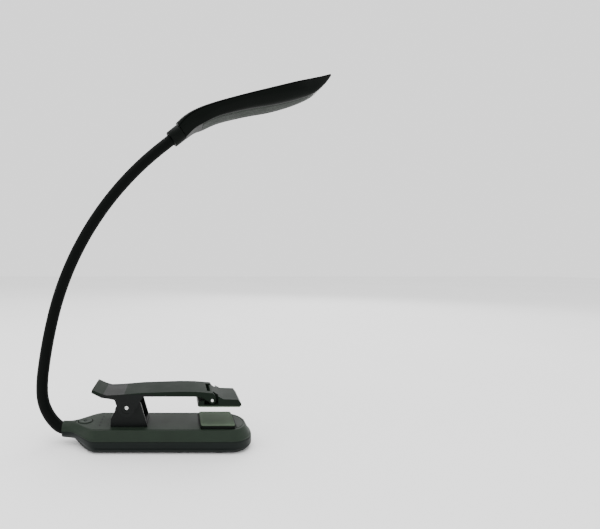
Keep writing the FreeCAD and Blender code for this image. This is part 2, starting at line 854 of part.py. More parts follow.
def make_arm():
    """The clip lever: press tab, pivot cheeks outside the ears, long beam and the fork at its end."""
    body = new_body("clip_arm")
    wide = size("arm_half_width")
    thick = size("arm_thick")
    px = size("pivot_along")
    pz = size("pivot_height")
    r = size("cheek_round")
    jx = size("jaw_pin_along")
    jz = size("jaw_pin_height")
    fork = size("fork_reach")
    arm_top = size("arm_top")
    under = arm_top - thick
    cheek_cos = math.cos(CHEEK_ANGLE)
    cheek_sin = math.sin(CHEEK_ANGLE)
    side = sketch(body, "arm_side", "XZ_Plane")
    outline(side, [
        (size("tab_start"), size("tab_top") - 1.7),
        (size("dip_start") - 2.6, size("dip_top") - 1.3),
        (size("dip_start") + 1.5, size("dip_top") - 1.9),
        (px - r * 1.4, pz + 4.3),
        (px - r * 1.2, pz + 1.8),
        (px - r * cheek_cos, pz - r * cheek_sin, r),
        (px + r * cheek_cos, pz - r * cheek_sin),
        (px + r * 1.9, under),
        (jx - 9.0, under),
        (jx - 5.2, jz + 1.5),
        (jx - fork, jz - fork * 0.4),
        (jx - fork * 0.4, jz - fork),
        (jx + fork * 0.4, jz - fork),
        (jx + fork, jz - fork * 0.4),
        (jx + fork, jz + 1.9),
        (jx + 0.4, arm_top - 0.3),
        (size("arm_end") - 6.0, arm_top + 0.4),
        (px + 28.0, arm_top + 0.5),
        (px + 8.0, arm_top - 0.15),
        (size("dip_start") + 6.0, size("dip_top") + 0.25),
        (size("dip_start"), size("dip_top")),
        (size("dip_start") - 3.0, size("dip_top") + 0.9),
        (size("tab_start") + 0.3, size("tab_top")),
    ])
    pad(body, side, wide * 2, both=True)
    cheek = size("cheek_thick")
    room = sketch(body, "ear_room", "XZ_Plane")
    polygon(room, [
        (px - 8.5, pz - 9.0),
        (px - 8.5, pz + 4.4),
        (px - 5.0, pz + 5.6),
        (px + 6.0, pz + 5.8),
        (px + 10.5, pz + 4.4),
        (px + 10.5, pz - 9.0),
    ])
    pocket(body, room, (wide - cheek) * 2, both=True)
    hollow = sketch(body, "beam_hollow", "XZ_Plane")
    polygon(hollow, [
        (px + 9.0, under - 0.5),
        (px + 9.0, arm_top - 1.2),
        (jx - 8.0, arm_top - 1.2),
        (jx - 8.0, under - 0.5),
    ])
    pocket(body, hollow, (wide - cheek) * 2, both=True)
    knuckle = sketch(body, "knuckle_room", "XY_Plane", arm_top + 2.0)
    slot_half = wide - size("fork_thick")
    rectangle(knuckle, size("arm_end"), -slot_half, jx + fork + 1.0, slot_half)
    pocket(body, knuckle, dim(12.0))
    below = sketch(body, "knuckle_room_below", "XY_Plane", under - 0.2)
    rectangle(below, jx - 6.0, -slot_half, jx + fork + 1.0, slot_half)
    pocket(body, below, dim(8.0))
    holes = sketch(body, "pivot_bore", "XZ_Plane")
    circle(holes, px, pz, size("pivot_radius") + size("pivot_gap"))
    pocket(body, holes, wide * 2 + 2, both=True)
    pin_hole = sketch(body, "jaw_pin_bore", "XZ_Plane")
    circle(pin_hole, jx, jz, size("jaw_pin_radius") + 0.02)
    pocket(body, pin_hole, wide * 2 + 2, both=True)
    return body


def make_jaw():
    """The swivelling foot of the clip, its knuckle between the fork's sides."""
    body = new_body("jaw_foot")
    x0 = size("jaw_start")
    sole = size("jaw_sole")
    jx = size("jaw_pin_along")
    jz = size("jaw_pin_height")
    knuckle_top = size("knuckle_top")
    side = sketch(body, "jaw_side", "XZ_Plane")
    polygon(side, [
        (x0, sole),
        (jaw_end, sole),
        (jaw_end - 0.1, sole + 1.2),
        (jaw_end - 1.6, jz + 0.5),
        (jx + 6.0, jz + 0.7),
        (jx + 2.0, knuckle_top - 0.7),
        (jx + 0.8, knuckle_top),
        (jx - 0.6, knuckle_top),
        (jx - 2.0, jz + 0.4),
        (x0 + 0.4, jz - 0.7),
    ])
    pad(body, side, size("jaw_half_width") * 2, both=True)
    room = sketch(body, "fork_room", "YZ_Plane", jx - size("fork_reach") - 2.4)
    inner = size("arm_half_width") - size("fork_thick") - size("knuckle_gap")
    outer = size("jaw_half_width") + 1.0
    floor_z = jz - size("fork_reach") - 0.5
    for side_sign in (-1, 1):
        rectangle(room, inner * side_sign, floor_z, outer * side_sign, knuckle_top + 1.0)
    pocket(body, room, size("fork_reach") * 2 + 3.9, upwards=True)
    bore = sketch(body, "jaw_bore", "XZ_Plane")
    circle(bore, jx, jz, size("jaw_pin_radius") + size("pivot_gap"))
    pocket(body, bore, size("jaw_half_width") * 2 + 2, both=True)
    return body


def make_jaw_pad():
    """The rubber sole of the jaw foot."""
    body = new_body("jaw_pad")
    plan = sketch(body, "jaw_pad_plan", "XY_Plane", jaw_pad_under)
    rectangle(plan, size("jaw_start") + 0.3, -size("jaw_half_width") + 0.3, jaw_end - 0.3, size("jaw_half_width") - 0.3)
    pad(body, plan, size("jaw_pad_thick"))
    round_edges(body, lambda e: upright(e), 1.2)
    return body


def make_spring():
    """The torsion spring round the pivot pin, one leg under the arm and one on the bracket floor."""
    wire = mm("spring_wire")
    coil = mm("spring_coil")
    turns = mm("spring_turns")
    width = turns * mm("spring_pitch")
    centre = V(mm("pivot_along"), -width / 2, mm("pivot_height"))
    helix = Part.makeHelix(mm("spring_pitch"), width, coil)
    ring = Part.Wire([Part.Circle(V(coil, 0, 0), V(0, 1, 0), wire).toShape()])
    body = Part.Wire(helix.Edges).makePipeShell([ring], True, True)
    body.rotate(V(0, 0, 0), V(1, 0, 0), -90)
    body.translate(centre)
    start = centre + V(coil, 0, 0)
    end = centre + V(coil, width, 0)
    lower = V(mm("pivot_along") + mm("spring_foot_reach"), -width / 2, (top + size("bracket_floor")).value + wire + 0.1)
    upper = centre + V(mm("spring_leg_reach"), width, mm("spring_leg_rise"))
    for first, last in ((start, lower), (end, upper)):
        run = last - first
        way = V(run)
        way.normalize()
        root = first - way * mm("spring_leg_root")
        leg = Part.makeCylinder(wire, (last - root).Length, root, run)
        leg = leg.fuse(Part.makeSphere(wire, last))
        body = body.fuse(leg)
    solid_part("clip_spring", body)


# ------------------------------------------------------------------ flexible neck

def neck_pieces():
    """The neck's centre line as runs and tangent arcs: (length, radius or None, heading at start)."""
    pieces = [(mm("neck_run_in"), None, 0.0)]
    heading = 0.0
    for n in range(1, 6):
        radius = mm("bend_%d_radius" % n)
        turn = math.radians(mm("bend_%d_turn" % n))
        pieces.append((radius * turn, radius, heading))
        heading += turn
    pieces.append((mm("neck_run_out") + mm("neck_grip"), None, heading))
    return pieces


NECK = neck_pieces()
NECK_LENGTH = sum(p[0] for p in NECK)
NECK_START = V(ferrule_end.value + mm("neck_run_in"), 0, neck_z.value)


def step(place, heading, radius, length):
    """The place and heading after a length of straight or curved neck. Heading 0 looks along -X."""
    if radius is None:
        return place + V(-math.cos(heading), 0, math.sin(heading)) * length, heading
    after = heading + length / radius
    centre = place + V(math.sin(heading), 0, math.cos(heading)) * radius
    return centre - V(math.sin(after), 0, math.cos(after)) * radius, after


def neck_at(distance):
    """The place and heading of the neck at a distance from its start."""
    place = NECK_START
    heading = 0.0
    for length, radius, heading in NECK:
        if distance <= length:
            return step(place, heading, radius, distance)
        place, heading = step(place, heading, radius, length)
        distance -= length
    return place + V(-math.cos(heading), 0, math.sin(heading)) * distance, heading


def neck_path(start, end):
    """The neck's centre line between two distances, as one wire."""
    edges = []
    done = 0.0
    for length, radius, _ in NECK:
        low = max(start, done)
        high = min(end, done + length)
        if high - low > 1e-6:
            a = neck_at(low)[0]
            b = neck_at(high)[0]
            if radius is None:
                edges.append(Part.LineSegment(a, b).toShape())
            else:
                edges.append(Part.Arc(a, neck_at((low + high) / 2)[0], b).toShape())
        done += length
    return Part.Wire(edges)


def neck_tube(start, end, radius):
    """A round rod along the neck between two distances."""
    place, heading = neck_at(start)
    ring = Part.Wire([Part.Circle(place, V(-math.cos(heading), 0, math.sin(heading)), radius).toShape()])
    return neck_path(start, end).makePipeShell([ring], True, False)


def joint_distances():
    """How far along the neck each joint is, evenly spread."""
    first = mm("first_joint")
    last = NECK_LENGTH - mm("last_joint_setback")
    return [first + (last - first) * n / (NECK_LINKS - 1) for n in range(NECK_LINKS)]


def ball_at(distance, radius):
    """A ball on the neck's line, its poles across the neck so that no seam meets the rod's rim."""
    place, _ = neck_at(distance)
    return Part.makeSphere(radius, place, V(0, 1, 0))


def make_neck():
    """The neck's links, each a bored rod with a ball at its root and a socket at its far end."""
    joints = joint_distances()
    radius = mm("neck_radius")
    bore = mm("neck_bore")
    names = ["neck_root"] + ["neck_link_%d" % n for n in range(1, NECK_LINKS)] + ["neck_tip"]
    ends = [0.0] + joints + [NECK_LENGTH]
    for n, name in enumerate(names):
        start = ends[n]
        end = ends[n + 1]
        rod = neck_tube(start, end, radius)
        if n > 0:
            rod = rod.fuse(ball_at(start, radius - 0.02))
        hole_start = max(start - radius * 1.5, 0.0)
        rod = rod.cut(neck_tube(hole_start, end, bore))
        if n < NECK_LINKS:
            rod = rod.cut(Part.makeSphere(radius + mm("joint_gap"), neck_at(end)[0]))
        if len(rod.Solids) != 1:
            raise RuntimeError("%s came apart into %d solids" % (name, len(rod.Solids)))
        solid_part(name, rod.Solids[0])


def make_neck_ferrule():
    """The brass sleeve crimped on the neck's end, seated in the casing's collar."""
    gap = mm("ferrule_gap")
    inner = mm("neck_radius") + gap
    outer = inner + mm("ferrule_wall")
    length = mm("neck_run_in") - 0.3
    start = V(ferrule_end.value + 0.1, 0, neck_z.value)
    sleeve = Part.makeCylinder(outer, length, start, V(1, 0, 0))
    solid_part("neck_ferrule", sleeve.cut(Part.makeCylinder(inner, length, start, V(1, 0, 0))))


# ------------------------------------------------------------------ light head

# Each station: along (share of the head's length) and height of the rim, the same of the keel,
# half-width of the rim and of the keel (shares of the greatest half-width), crown height.
HEAD_STATIONS = [
    (0.051, 6.2, 0.095, 1.0, 0.41, 0.18, 3.2),
    (0.099, 10.3, 0.147, 4.8, 0.56, 0.4, 2.6),
    (0.169, 13.6, 0.198, 6.9, 0.71, 0.54, 2.2),
    (0.279, 16.5, 0.302, 10.9, 0.86, 0.55, 2.0),
    (0.453, 20.2, 0.47, 14.4, 0.97, 0.52, 1.9),
    (0.616, 23.5, 0.631, 16.8, 1.0, 0.48, 1.9),
    (0.756, 27.0, 0.774, 20.0, 0.87, 0.38, 1.6),
    (0.866, 30.3, 0.884, 23.9, 0.56, 0.26, 1.2),
    (0.948, 33.0, 0.957, 29.3, 0.29, 0.15, 0.8),
    (1.0, 35.2, 1.002, 34.4, 0.07, 0.045, 0.25),
]
LENS_FROM = 2
LENS_TO = 7


class Station:
    """One cross-section of the head: a rim point, a keel point and the widths there."""

    def __init__(self, root, row):
        rim_x, rim_z, keel_x, keel_z, rim_w, keel_w, crown = row
        length = mm("head_length")
        wide = mm("head_half_width")
        self.rim = root + V(rim_x * length, 0, rim_z)
        self.keel = root + V(keel_x * length, 0, keel_z)
        self.rim_w = rim_w * wide
        self.keel_w = keel_w * wide
        self.crown = crown
        self.up = (self.rim - self.keel).normalize()
        self.tall = (self.rim - self.keel).Length

    def wire(self, half_points):
        """A closed outline from points (half-width, height over the keel), mirrored about Y = 0."""
        right = [self.keel + self.up * h + V(0, w, 0) for w, h in half_points]
        left = [self.keel + self.up * h - V(0, w, 0) for w, h in reversed(half_points)]
        return Part.makePolygon(right + left + [right[0]])

    def side(self, share, height):
        """A point of the side wall: a share of the flare, at a share of the height."""
        return self.keel_w + (self.rim_w - self.keel_w) * share, self.tall * height

    def hull(self):
        return self.wire([
            (self.keel_w, 0.0),
            self.side(0.5, 0.2),
            self.side(0.85, 0.55),
            (self.rim_w, self.tall),
        ])

    def hollow(self):
        wall = mm("head_wall")
        low = self.side(0.5, 0.2)
        high = self.side(0.85, 0.55)
        return self.wire([
            (self.keel_w - wall * 0.5, wall),
            (low[0] - wall, max(low[1], wall * 1.4)),
            (high[0] - wall, high[1]),
            (self.rim_w - wall, self.tall + 0.5),
        ])

    def lid(self):
        return self.wire([
            (self.rim_w, self.tall),
            (self.rim_w * 0.97, self.tall + self.crown * 0.25),
            (self.rim_w * 0.7, self.tall + self.crown * 0.75),
            (self.rim_w * 0.3, self.tall + self.crown),
        ])

    def strip(self, inset, low, high):
        half_width = self.keel_w - inset
        return self.wire([(half_width, low), (half_width, high)])


def loft(wires):
    return Part.makeLoft(wires, True, True)


def make_head():
    """Hull, lid, diffuser, light strip with its chips, and the collar that grips the neck."""
    root, heading = neck_at(NECK_LENGTH - mm("neck_grip"))
    along = V(-math.cos(heading), 0, math.sin(heading))
    stations = [Station(root, row) for row in HEAD_STATIONS]
    lens_stations = stations[LENS_FROM:LENS_TO + 1]
    margin = mm("lens_margin")
    gap = mm("lens_gap")
    head_radius = mm("head_collar_radius")

    hull = loft([s.hull() for s in stations])
    hull = hull.cut(loft([s.hollow() for s in stations[1:LENS_TO + 1]]))
    hull = hull.cut(loft([s.strip(margin - gap, -0.6, mm("head_wall") + 0.4) for s in lens_stations]))
    clear = Part.makeCylinder(
        head_radius + 0.03, mm("head_collar_length") + 0.05, root, along
    )
    passage = Part.makeCylinder(
        mm("neck_radius") + 0.05, mm("neck_grip") + 0.4, root, along
    )
    solid_part("head_housing", largest(hull.cut(clear).cut(passage)))
    lid = loft([s.lid() for s in stations])
    solid_part("head_lid", largest(lid.cut(clear).cut(passage)))
    solid_part("light_diffuser", loft([s.strip(margin, 0.0, mm("lens_thick")) for s in lens_stations]))
    collar = Part.makeCylinder(head_radius, mm("head_collar_length"), root, along)
    collar = collar.cut(
        Part.makeCylinder(mm("neck_radius") + 0.03, mm("head_collar_length"), root, along)
    )
    solid_part("head_collar", collar)
    make_light_strip(lens_stations)


def largest(shape):
    return max(shape.Solids, key=lambda s: s.Volume)


def make_light_strip(lens_stations):
    """A straight aluminium strip over the diffuser, with a row of light chips on its underside."""
    rise = 2.7 + mm("led_thick")
    first = lens_stations[0].keel + V(4.0, 0, 0)
    last = lens_stations[4].keel + V(-4.0, 0, 0)
    first = first + V(0, 0, rise + 1.0)
    last = last + V(0, 0, rise - 0.3)
    along = (last - first).normalize()
    length = (last - first).Length
    turn = FreeCAD.Rotation(V(1, 0, 0), along)
    half_width = mm("led_board_half_width")
    strip = Part.makeBox(length, half_width * 2, mm("led_board_thick"), V(0, -half_width, 0))
    strip.Placement = FreeCAD.Placement(first, turn)
    solid_part("light_strip_board", strip)
    chip = mm("led_size")
    chips = []
    for n in range(LED_COUNT):
        x = length * (n + 0.5) / LED_COUNT - chip / 2
        one = Part.makeBox(chip, chip, mm("led_thick"), V(x, -chip / 2, -mm("led_thick")))
        one.Placement = FreeCAD.Placement(first, turn)
        chips.append(one)
    solid_part("light_strip_chips", Part.makeCompound(chips))


# ------------------------------------------------------------------ wires

def wire_run(points, radius):
    """A thin insulated wire through the given points."""
    run = Part.makeSphere(radius, points[0])
    for a, b in zip(points, points[1:]):
        run = run.fuse(Part.makeCylinder(radius, (b - a).Length, a, b - a))
        run = run.fuse(Part.makeSphere(radius, b))
    return run


def make_wires():
    """The battery's lead pair, from the cell's end up to the board's underside."""
    r = mm("wire_radius")
    cell_end = mm("cell_start")
    low = mm("floor_wall") + 0.2 + mm("cell_thick") / 2
    pair = []
    for side in (-1, 1):
        pair.append(wire_run([
            V(cell_end - r - 0.05, side * 3.0, low),
            V(cell_end - 4.0, side * 3.0, low + 0.3),
            V(cell_end - 6.5, side * 3.0, mm("board_height") - r - 0.05),
        ], r))
    solid_part("battery_leads", Part.makeCompound(pair))


# ------------------------------------------------------------------ build, check and write

def main():
    make_lower_shell()
    make_upper_shell()
    make_base_pad()
    make_shell_screws()
    make_board()
    make_electronics()
    make_button()
    make_bracket()
    make_bracket_screws()
    make_pins()
    make_arm()
    make_jaw()
    make_jaw_pad()
    make_spring()
    make_neck()
    make_neck_ferrule()
    make_head()
    make_wires()
    doc.recompute()
    for obj in doc.Objects:
        if {"Invalid", "Error"} & set(obj.State):
            raise RuntimeError("%s is %s" % (obj.Label, obj.State))
    for part in PARTS:
        shape = part.Shape
        if shape.isNull() or not shape.isValid() or not shape.Solids:
            raise RuntimeError("%s has no sound shape" % part.Label)
    os.makedirs("parts", exist_ok=True)
    for part in PARTS:
        part.Shape.exportStep("parts/%s.step" % part.Label)
        b = part.Shape.BoundBox
        print("%-20s %d solids %9.1f mm3  X %.1f..%.1f  Y %.1f..%.1f  Z %.1f..%.1f" % (
            part.Label, len(part.Shape.Solids), part.Shape.Volume,
            b.XMin, b.XMax, b.YMin, b.YMax, b.ZMin, b.ZMax,
        ))
    for n, distance in enumerate(joint_distances(), start=1):
        place, heading = neck_at(distance)
        print("neck joint %d at X %.3f Z %.3f heading %.2f" % (n, place.x, place.z, math.degrees(heading)))
    print("neck length %.1f" % NECK_LENGTH)


main()
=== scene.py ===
"""Looks of a clip-on reading lamp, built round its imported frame.

A flat battery base carries a sprung clip, a flexible neck and a slim hull-shaped light head. Every
length here is in millimetres until a mesh is made, and meshes are in metres.
"""
import json
import logging
import math
from dataclasses import dataclass, field
from enum import Enum
from typing import Callable, Iterable, Sequence

import bmesh
import bpy
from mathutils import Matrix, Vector

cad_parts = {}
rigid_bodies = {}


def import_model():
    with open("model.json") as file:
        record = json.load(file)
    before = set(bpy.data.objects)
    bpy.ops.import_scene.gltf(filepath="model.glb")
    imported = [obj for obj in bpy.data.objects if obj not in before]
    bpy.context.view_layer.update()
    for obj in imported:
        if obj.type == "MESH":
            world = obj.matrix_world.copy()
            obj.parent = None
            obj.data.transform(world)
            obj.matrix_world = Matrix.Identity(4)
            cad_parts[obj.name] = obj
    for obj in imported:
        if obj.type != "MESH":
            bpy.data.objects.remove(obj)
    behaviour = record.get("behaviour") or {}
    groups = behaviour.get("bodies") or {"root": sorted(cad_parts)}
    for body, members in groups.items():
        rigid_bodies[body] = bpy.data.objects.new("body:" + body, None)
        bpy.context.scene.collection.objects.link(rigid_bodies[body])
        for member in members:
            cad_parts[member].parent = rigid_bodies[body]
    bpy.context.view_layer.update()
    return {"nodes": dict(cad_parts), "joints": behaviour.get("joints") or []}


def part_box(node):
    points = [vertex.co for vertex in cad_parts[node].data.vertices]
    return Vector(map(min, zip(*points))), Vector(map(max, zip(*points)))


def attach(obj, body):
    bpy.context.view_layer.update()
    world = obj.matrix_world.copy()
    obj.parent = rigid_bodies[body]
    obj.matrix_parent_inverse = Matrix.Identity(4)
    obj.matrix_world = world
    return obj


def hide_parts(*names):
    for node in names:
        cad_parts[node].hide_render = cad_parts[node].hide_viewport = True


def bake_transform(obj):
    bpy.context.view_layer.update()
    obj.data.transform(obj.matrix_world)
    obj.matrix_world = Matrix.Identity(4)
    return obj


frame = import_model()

MM = 0.001
WELD = 1e-7            # points closer than this many metres are one
CAD_WELD = 2e-6        # the same for a mesh that came from the CAD
FLAT = math.radians(0.2)  # faces within this angle are one flat face
LOG = logging.getLogger("reading_lamp")

Point = tuple[float, float, float]
Outline = list[tuple[float, float]]
Levels = Sequence[tuple[float, float]]


# ---------------------------------------------------------------- colours and finishes

def linear(red: int, green: int, blue: int) -> tuple[float, float, float, float]:
    """Turns an eight-bit display colour into a linear one with full alpha.

    Args:
        red: 0 to 255.
        green: 0 to 255.
        blue: 0 to 255.

    Returns:
        Linear red, green, blue and alpha.
    """
    parts = [c / 255.0 for c in (red, green, blue)]
    bright = [c / 12.92 if c <= 0.04045 else ((c + 0.055) / 1.055) ** 2.4 for c in parts]
    return (bright[0], bright[1], bright[2], 1.0)


def shade(colour: Sequence[float], factor: float) -> tuple[float, float, float, float]:
    """A lighter or darker version of a linear colour."""
    return (colour[0] * factor, colour[1] * factor, colour[2] * factor, 1.0)


class NodeSheet:
    """A material's node tree with short ways to add and join nodes."""

    def __init__(self, name: str) -> None:
        """Starts a material with one Principled shader.

        Args:
            name: The material's name.
        """
        self.material = bpy.data.materials.new(name)
        self.material.use_nodes = True
        self.tree = self.material.node_tree
        self.tree.nodes.clear()
        self.output = self.tree.nodes.new("ShaderNodeOutputMaterial")
        self.shader = self.tree.nodes.new("ShaderNodeBsdfPrincipled")
        self.tree.links.new(self.shader.outputs["BSDF"], self.output.inputs["Surface"])
        self.place = self.tree.nodes.new("ShaderNodeTexCoord").outputs["Object"]

    def noise(self, scale: float, detail: float = 3.0, roughness: float = 0.5) -> bpy.types.NodeSocket:
        """Adds a noise texture on Object coordinates and returns its value."""
        node = self.tree.nodes.new("ShaderNodeTexNoise")
        node.inputs["Scale"].default_value = scale
        node.inputs["Detail"].default_value = detail
        node.inputs["Roughness"].default_value = roughness
        self.tree.links.new(self.place, node.inputs["Vector"])
        return node.outputs["Fac"]

    def stretched(self, stretch: Point, scale: float) -> bpy.types.NodeSocket:
        """Adds a noise drawn out along an axis, for brushed or moulded flow marks."""
        mapping = self.tree.nodes.new("ShaderNodeMapping")
        mapping.inputs["Scale"].default_value = stretch
        self.tree.links.new(self.place, mapping.inputs["Vector"])
        node = self.tree.nodes.new("ShaderNodeTexNoise")
        node.inputs["Scale"].default_value = scale
        node.inputs["Detail"].default_value = 4.0
        self.tree.links.new(mapping.outputs["Vector"], node.inputs["Vector"])
        return node.outputs["Fac"]

    def ramp(self, source: bpy.types.NodeSocket, low: float, high: float) -> bpy.types.NodeSocket:
        """Maps a 0.3 to 0.7 value to the range from low to high."""
        node = self.tree.nodes.new("ShaderNodeMapRange")
        node.inputs["From Min"].default_value = 0.3
        node.inputs["From Max"].default_value = 0.7
        node.inputs["To Min"].default_value = low
        node.inputs["To Max"].default_value = high
        self.tree.links.new(source, node.inputs["Value"])
        return node.outputs["Result"]

    def mix(
        self, factor: bpy.types.NodeSocket, low: Sequence[float], high: Sequence[float]
    ) -> bpy.types.NodeSocket:
        """Mixes two colours by a value and returns the colour."""
        node = self.tree.nodes.new("ShaderNodeMix")
        node.data_type = "RGBA"
        node.inputs["A"].default_value = low
        node.inputs["B"].default_value = high
        self.tree.links.new(factor, node.inputs["Factor"])
        return node.outputs["Result"]

    def colour(self, socket: bpy.types.NodeSocket) -> None:
        """Feeds the base colour."""
        self.tree.links.new(socket, self.shader.inputs["Base Color"])

    def rough(self, socket: bpy.types.NodeSocket) -> None:
        """Feeds the roughness."""
        self.tree.links.new(socket, self.shader.inputs["Roughness"])

    def bump(self, height: bpy.types.NodeSocket, strength: float, distance: float) -> None:
        """Feeds the normal from a height, with a real depth in metres."""
        node = self.tree.nodes.new("ShaderNodeBump")
        node.inputs["Strength"].default_value = strength
        node.inputs["Distance"].default_value = distance
        self.tree.links.new(height, node.inputs["Height"])
        last = self.shader.inputs["Normal"]
        if last.is_linked:
            self.tree.links.new(last.links[0].from_socket, node.inputs["Normal"])
        self.tree.links.new(node.outputs["Normal"], last)

    def value(self, name: str, amount: object) -> None:
        """Sets one of the shader's own sockets."""
        self.shader.inputs[name].default_value = amount


@dataclass(frozen=True)
class Moulded:
    """Injection-moulded plastic with a spark-eroded grain.

    Attributes:
        name: Material name.
        tint: Linear base colour.
        roughness: Middle roughness.
        grain_depth: Depth of the grain in metres.
        sheen_mark: Strength of the slow changes in gloss from handling.
        coat: Weight of a clear gloss layer.
        specular: Specular level.
    """

    name: str
    tint: tuple[float, float, float, float]
    roughness: float = 0.5
    grain_depth: float = 0.00002
    sheen_mark: float = 0.06
    coat: float = 0.0
    specular: float = 0.5

    def build(self) -> bpy.types.Material:
        """Makes the material."""
        sheet = NodeSheet(self.name)
        fine = sheet.noise(5200.0, 3.0, 0.6)
        slow = sheet.noise(70.0, 4.0, 0.6)
        sheet.colour(sheet.mix(sheet.ramp(slow, 0.0, 1.0), shade(self.tint, 0.9), shade(self.tint, 1.12)))
        sheet.rough(sheet.ramp(slow, self.roughness - self.sheen_mark, self.roughness + self.sheen_mark))
        sheet.bump(fine, 0.5, self.grain_depth)
        sheet.value("Coat Weight", self.coat)
        sheet.value("Coat Roughness", 0.12)
        sheet.value("Specular IOR Level", self.specular)
        return sheet.material


@dataclass(frozen=True)
class Elastomer:
    """Silicone or rubber: matte, with a soft bloom and a slight mottling.

    Attributes:
        name: Material name.
        tint: Linear base colour.
        roughness: Middle roughness.
        bloom: Sheen weight.
        specular: Specular level.
    """

    name: str
    tint: tuple[float, float, float, float]
    roughness: float = 0.7
    bloom: float = 0.15
    specular: float = 0.5

    def build(self) -> bpy.types.Material:
        """Makes the material."""
        sheet = NodeSheet(self.name)
        fine = sheet.noise(3200.0, 4.0, 0.65)
        dust = sheet.noise(240.0, 5.0, 0.6)
        sheet.colour(sheet.mix(sheet.ramp(dust, 0.0, 1.0), shade(self.tint, 0.88), shade(self.tint, 1.15)))
        sheet.rough(sheet.ramp(dust, self.roughness - 0.07, self.roughness + 0.07))
        sheet.bump(fine, 0.6, 0.00003)
        sheet.value("Sheen Weight", self.bloom)
        sheet.value("Sheen Roughness", 0.5)
        sheet.value("Specular IOR Level", self.specular)
        return sheet.material


@dataclass(frozen=True)
class Metal:
    """Turned, brushed or plated metal with fine tool marks.

    Attributes:
        name: Material name.
        tint: Linear base colour.
        roughness: Middle roughness.
        marks: Stretch of the tool marks along X, Y and Z.
    """

    name: str
    tint: tuple[float, float, float, float]
    roughness: float = 0.28
    marks: Point = (1.0, 0.06, 1.0)

    def build(self) -> bpy.types.Material:
        """Makes the material."""
        sheet = NodeSheet(self.name)
        lines = sheet.stretched(self.marks, 3000.0)
        slow = sheet.noise(300.0, 3.0, 0.5)
        sheet.colour(sheet.mix(sheet.ramp(slow, 0.0, 1.0), shade(self.tint, 0.86), self.tint))
        sheet.rough(sheet.ramp(lines, self.roughness - 0.08, self.roughness + 0.1))
        sheet.bump(lines, 0.4, 0.000008)
        sheet.value("Metallic", 1.0)
        return sheet.material


@dataclass(frozen=True)
class Frosted:
    """A frosted diffuser: a satin skin over a milky, slightly clouded body.

    Attributes:
        name: Material name.
        tint: Linear base colour.
        specular: Specular level.
    """

    name: str
    tint: tuple[float, float, float, float]
    specular: float = 0.4

    def build(self) -> bpy.types.Material:
        """Makes the material."""
        sheet = NodeSheet(self.name)
        cloud = sheet.noise(120.0, 3.0, 0.5)
        fine = sheet.noise(7000.0, 2.0, 0.6)
        sheet.colour(sheet.mix(sheet.ramp(cloud, 0.0, 1.0), shade(self.tint, 0.93), shade(self.tint, 1.08)))
        sheet.rough(sheet.ramp(cloud, 0.42, 0.52))
        sheet.bump(fine, 0.35, 0.00001)
        sheet.value("Subsurface Weight", 0.25)
        sheet.value("Subsurface Radius", (0.0015, 0.0018, 0.0016))
        sheet.value("Specular IOR Level", self.specular)
        return sheet.material


MADE: dict[str, bpy.types.Material] = {}


class Finish(Enum):
    """Every finish on the lamp."""

    CASE = Moulded("case_grey_green", linear(29, 38, 30), 0.5, 0.00002, 0.05, 0.0, 0.12)
    # painted shade: the lid's plastic darkened for the shade that falls on the tray's upright sides
    CASE_LOWER_PAINTED_SHADE = Moulded("case_lower_painted_shade", linear(13, 19, 17), 0.42, 0.00002, 0.05, 0.0, 0.12)
    ARM = Moulded("clip_grey_green", linear(19, 27, 21), 0.46, 0.00002, 0.05, 0.0, 0.04)
    BRACKET = Moulded("bracket_black", linear(10, 13, 12), 0.45, 0.00002, 0.05, 0.0, 0.12)
    BUTTON = Moulded("button_grey_green", linear(30, 39, 32), 0.5, 0.00001, 0.05, 0.0, 0.15)
    MARK = Moulded("button_mark", linear(8, 10, 9), 0.5, 0.00001, 0.05, 0.0, 0.1)
    HEAD = Moulded("head_satin_black", linear(4, 7, 5), 0.3, 0.00001, 0.05, 0.03, 0.04)
    COLLAR = Moulded("collar_black", linear(5, 8, 6), 0.42, 0.000015, 0.05, 0.0, 0.06)
    NECK = Elastomer("neck_sleeve_black", linear(5, 7, 6), 0.6, 0.0, 0.05)
    PAD = Elastomer("pad_silicone", linear(68, 82, 65), 0.72, 0.02, 0.15)
    # painted shade: a dark copy of the pad silicone for the shaded sides of the pad
    PAD_SIDE_PAINTED_SHADE = Elastomer("pad_side_painted_shade", linear(12, 16, 13), 0.7, 0.0, 0.1)
    STEEL = Metal("pin_steel", linear(205, 208, 205), 0.24)
    SPRING = Metal("spring_steel", linear(170, 172, 170), 0.3, (1.0, 1.0, 1.0))
    BRASS = Metal("ferrule_brass", linear(205, 172, 104), 0.3)
    STRIP = Metal("strip_brushed", linear(200, 203, 205), 0.4, (0.06, 1.0, 1.0))
    DIFFUSER = Frosted("diffuser_frosted", linear(20, 27, 21), specular=0.06)
    WINDOW = Frosted("indicator_smoked", linear(7, 9, 8), specular=0.1)
    CHIP = Frosted("chip_phosphor", linear(235, 215, 120))
    BOARD = Moulded("board_solder_mask", linear(24, 82, 50), 0.35, 0.00001)
    CELL = Metal("cell_foil", linear(170, 176, 184), 0.45, (1.0, 1.0, 0.1))
    LEAD = Elastomer("lead_insulation", linear(150, 30, 28), 0.5, 0.0)

    def material(self) -> bpy.types.Material:
        """The finish's material, made once and never taken from the frame's own."""
        if self.name not in MADE:
            MADE[self.name] = self.value.build()
        return MADE[self.name]


# ---------------------------------------------------------------- mesh tools

def to_mesh(name: str, points: Iterable[Sequence[float]], faces: Iterable[Sequence[int]]) -> bpy.types.Object:
    """Makes an object from points in millimetres.

    Args:
        name: Object name.
        points: Corners.
        faces: Corner numbers of each face.

    Returns:
        The object, at the origin, with its normals outwards.
    """
    mesh = bpy.data.meshes.new(name)
    mesh.from_pydata([Vector(p) * MM for p in points], [], list(faces))
    welded(mesh)
    return placed(name, mesh)


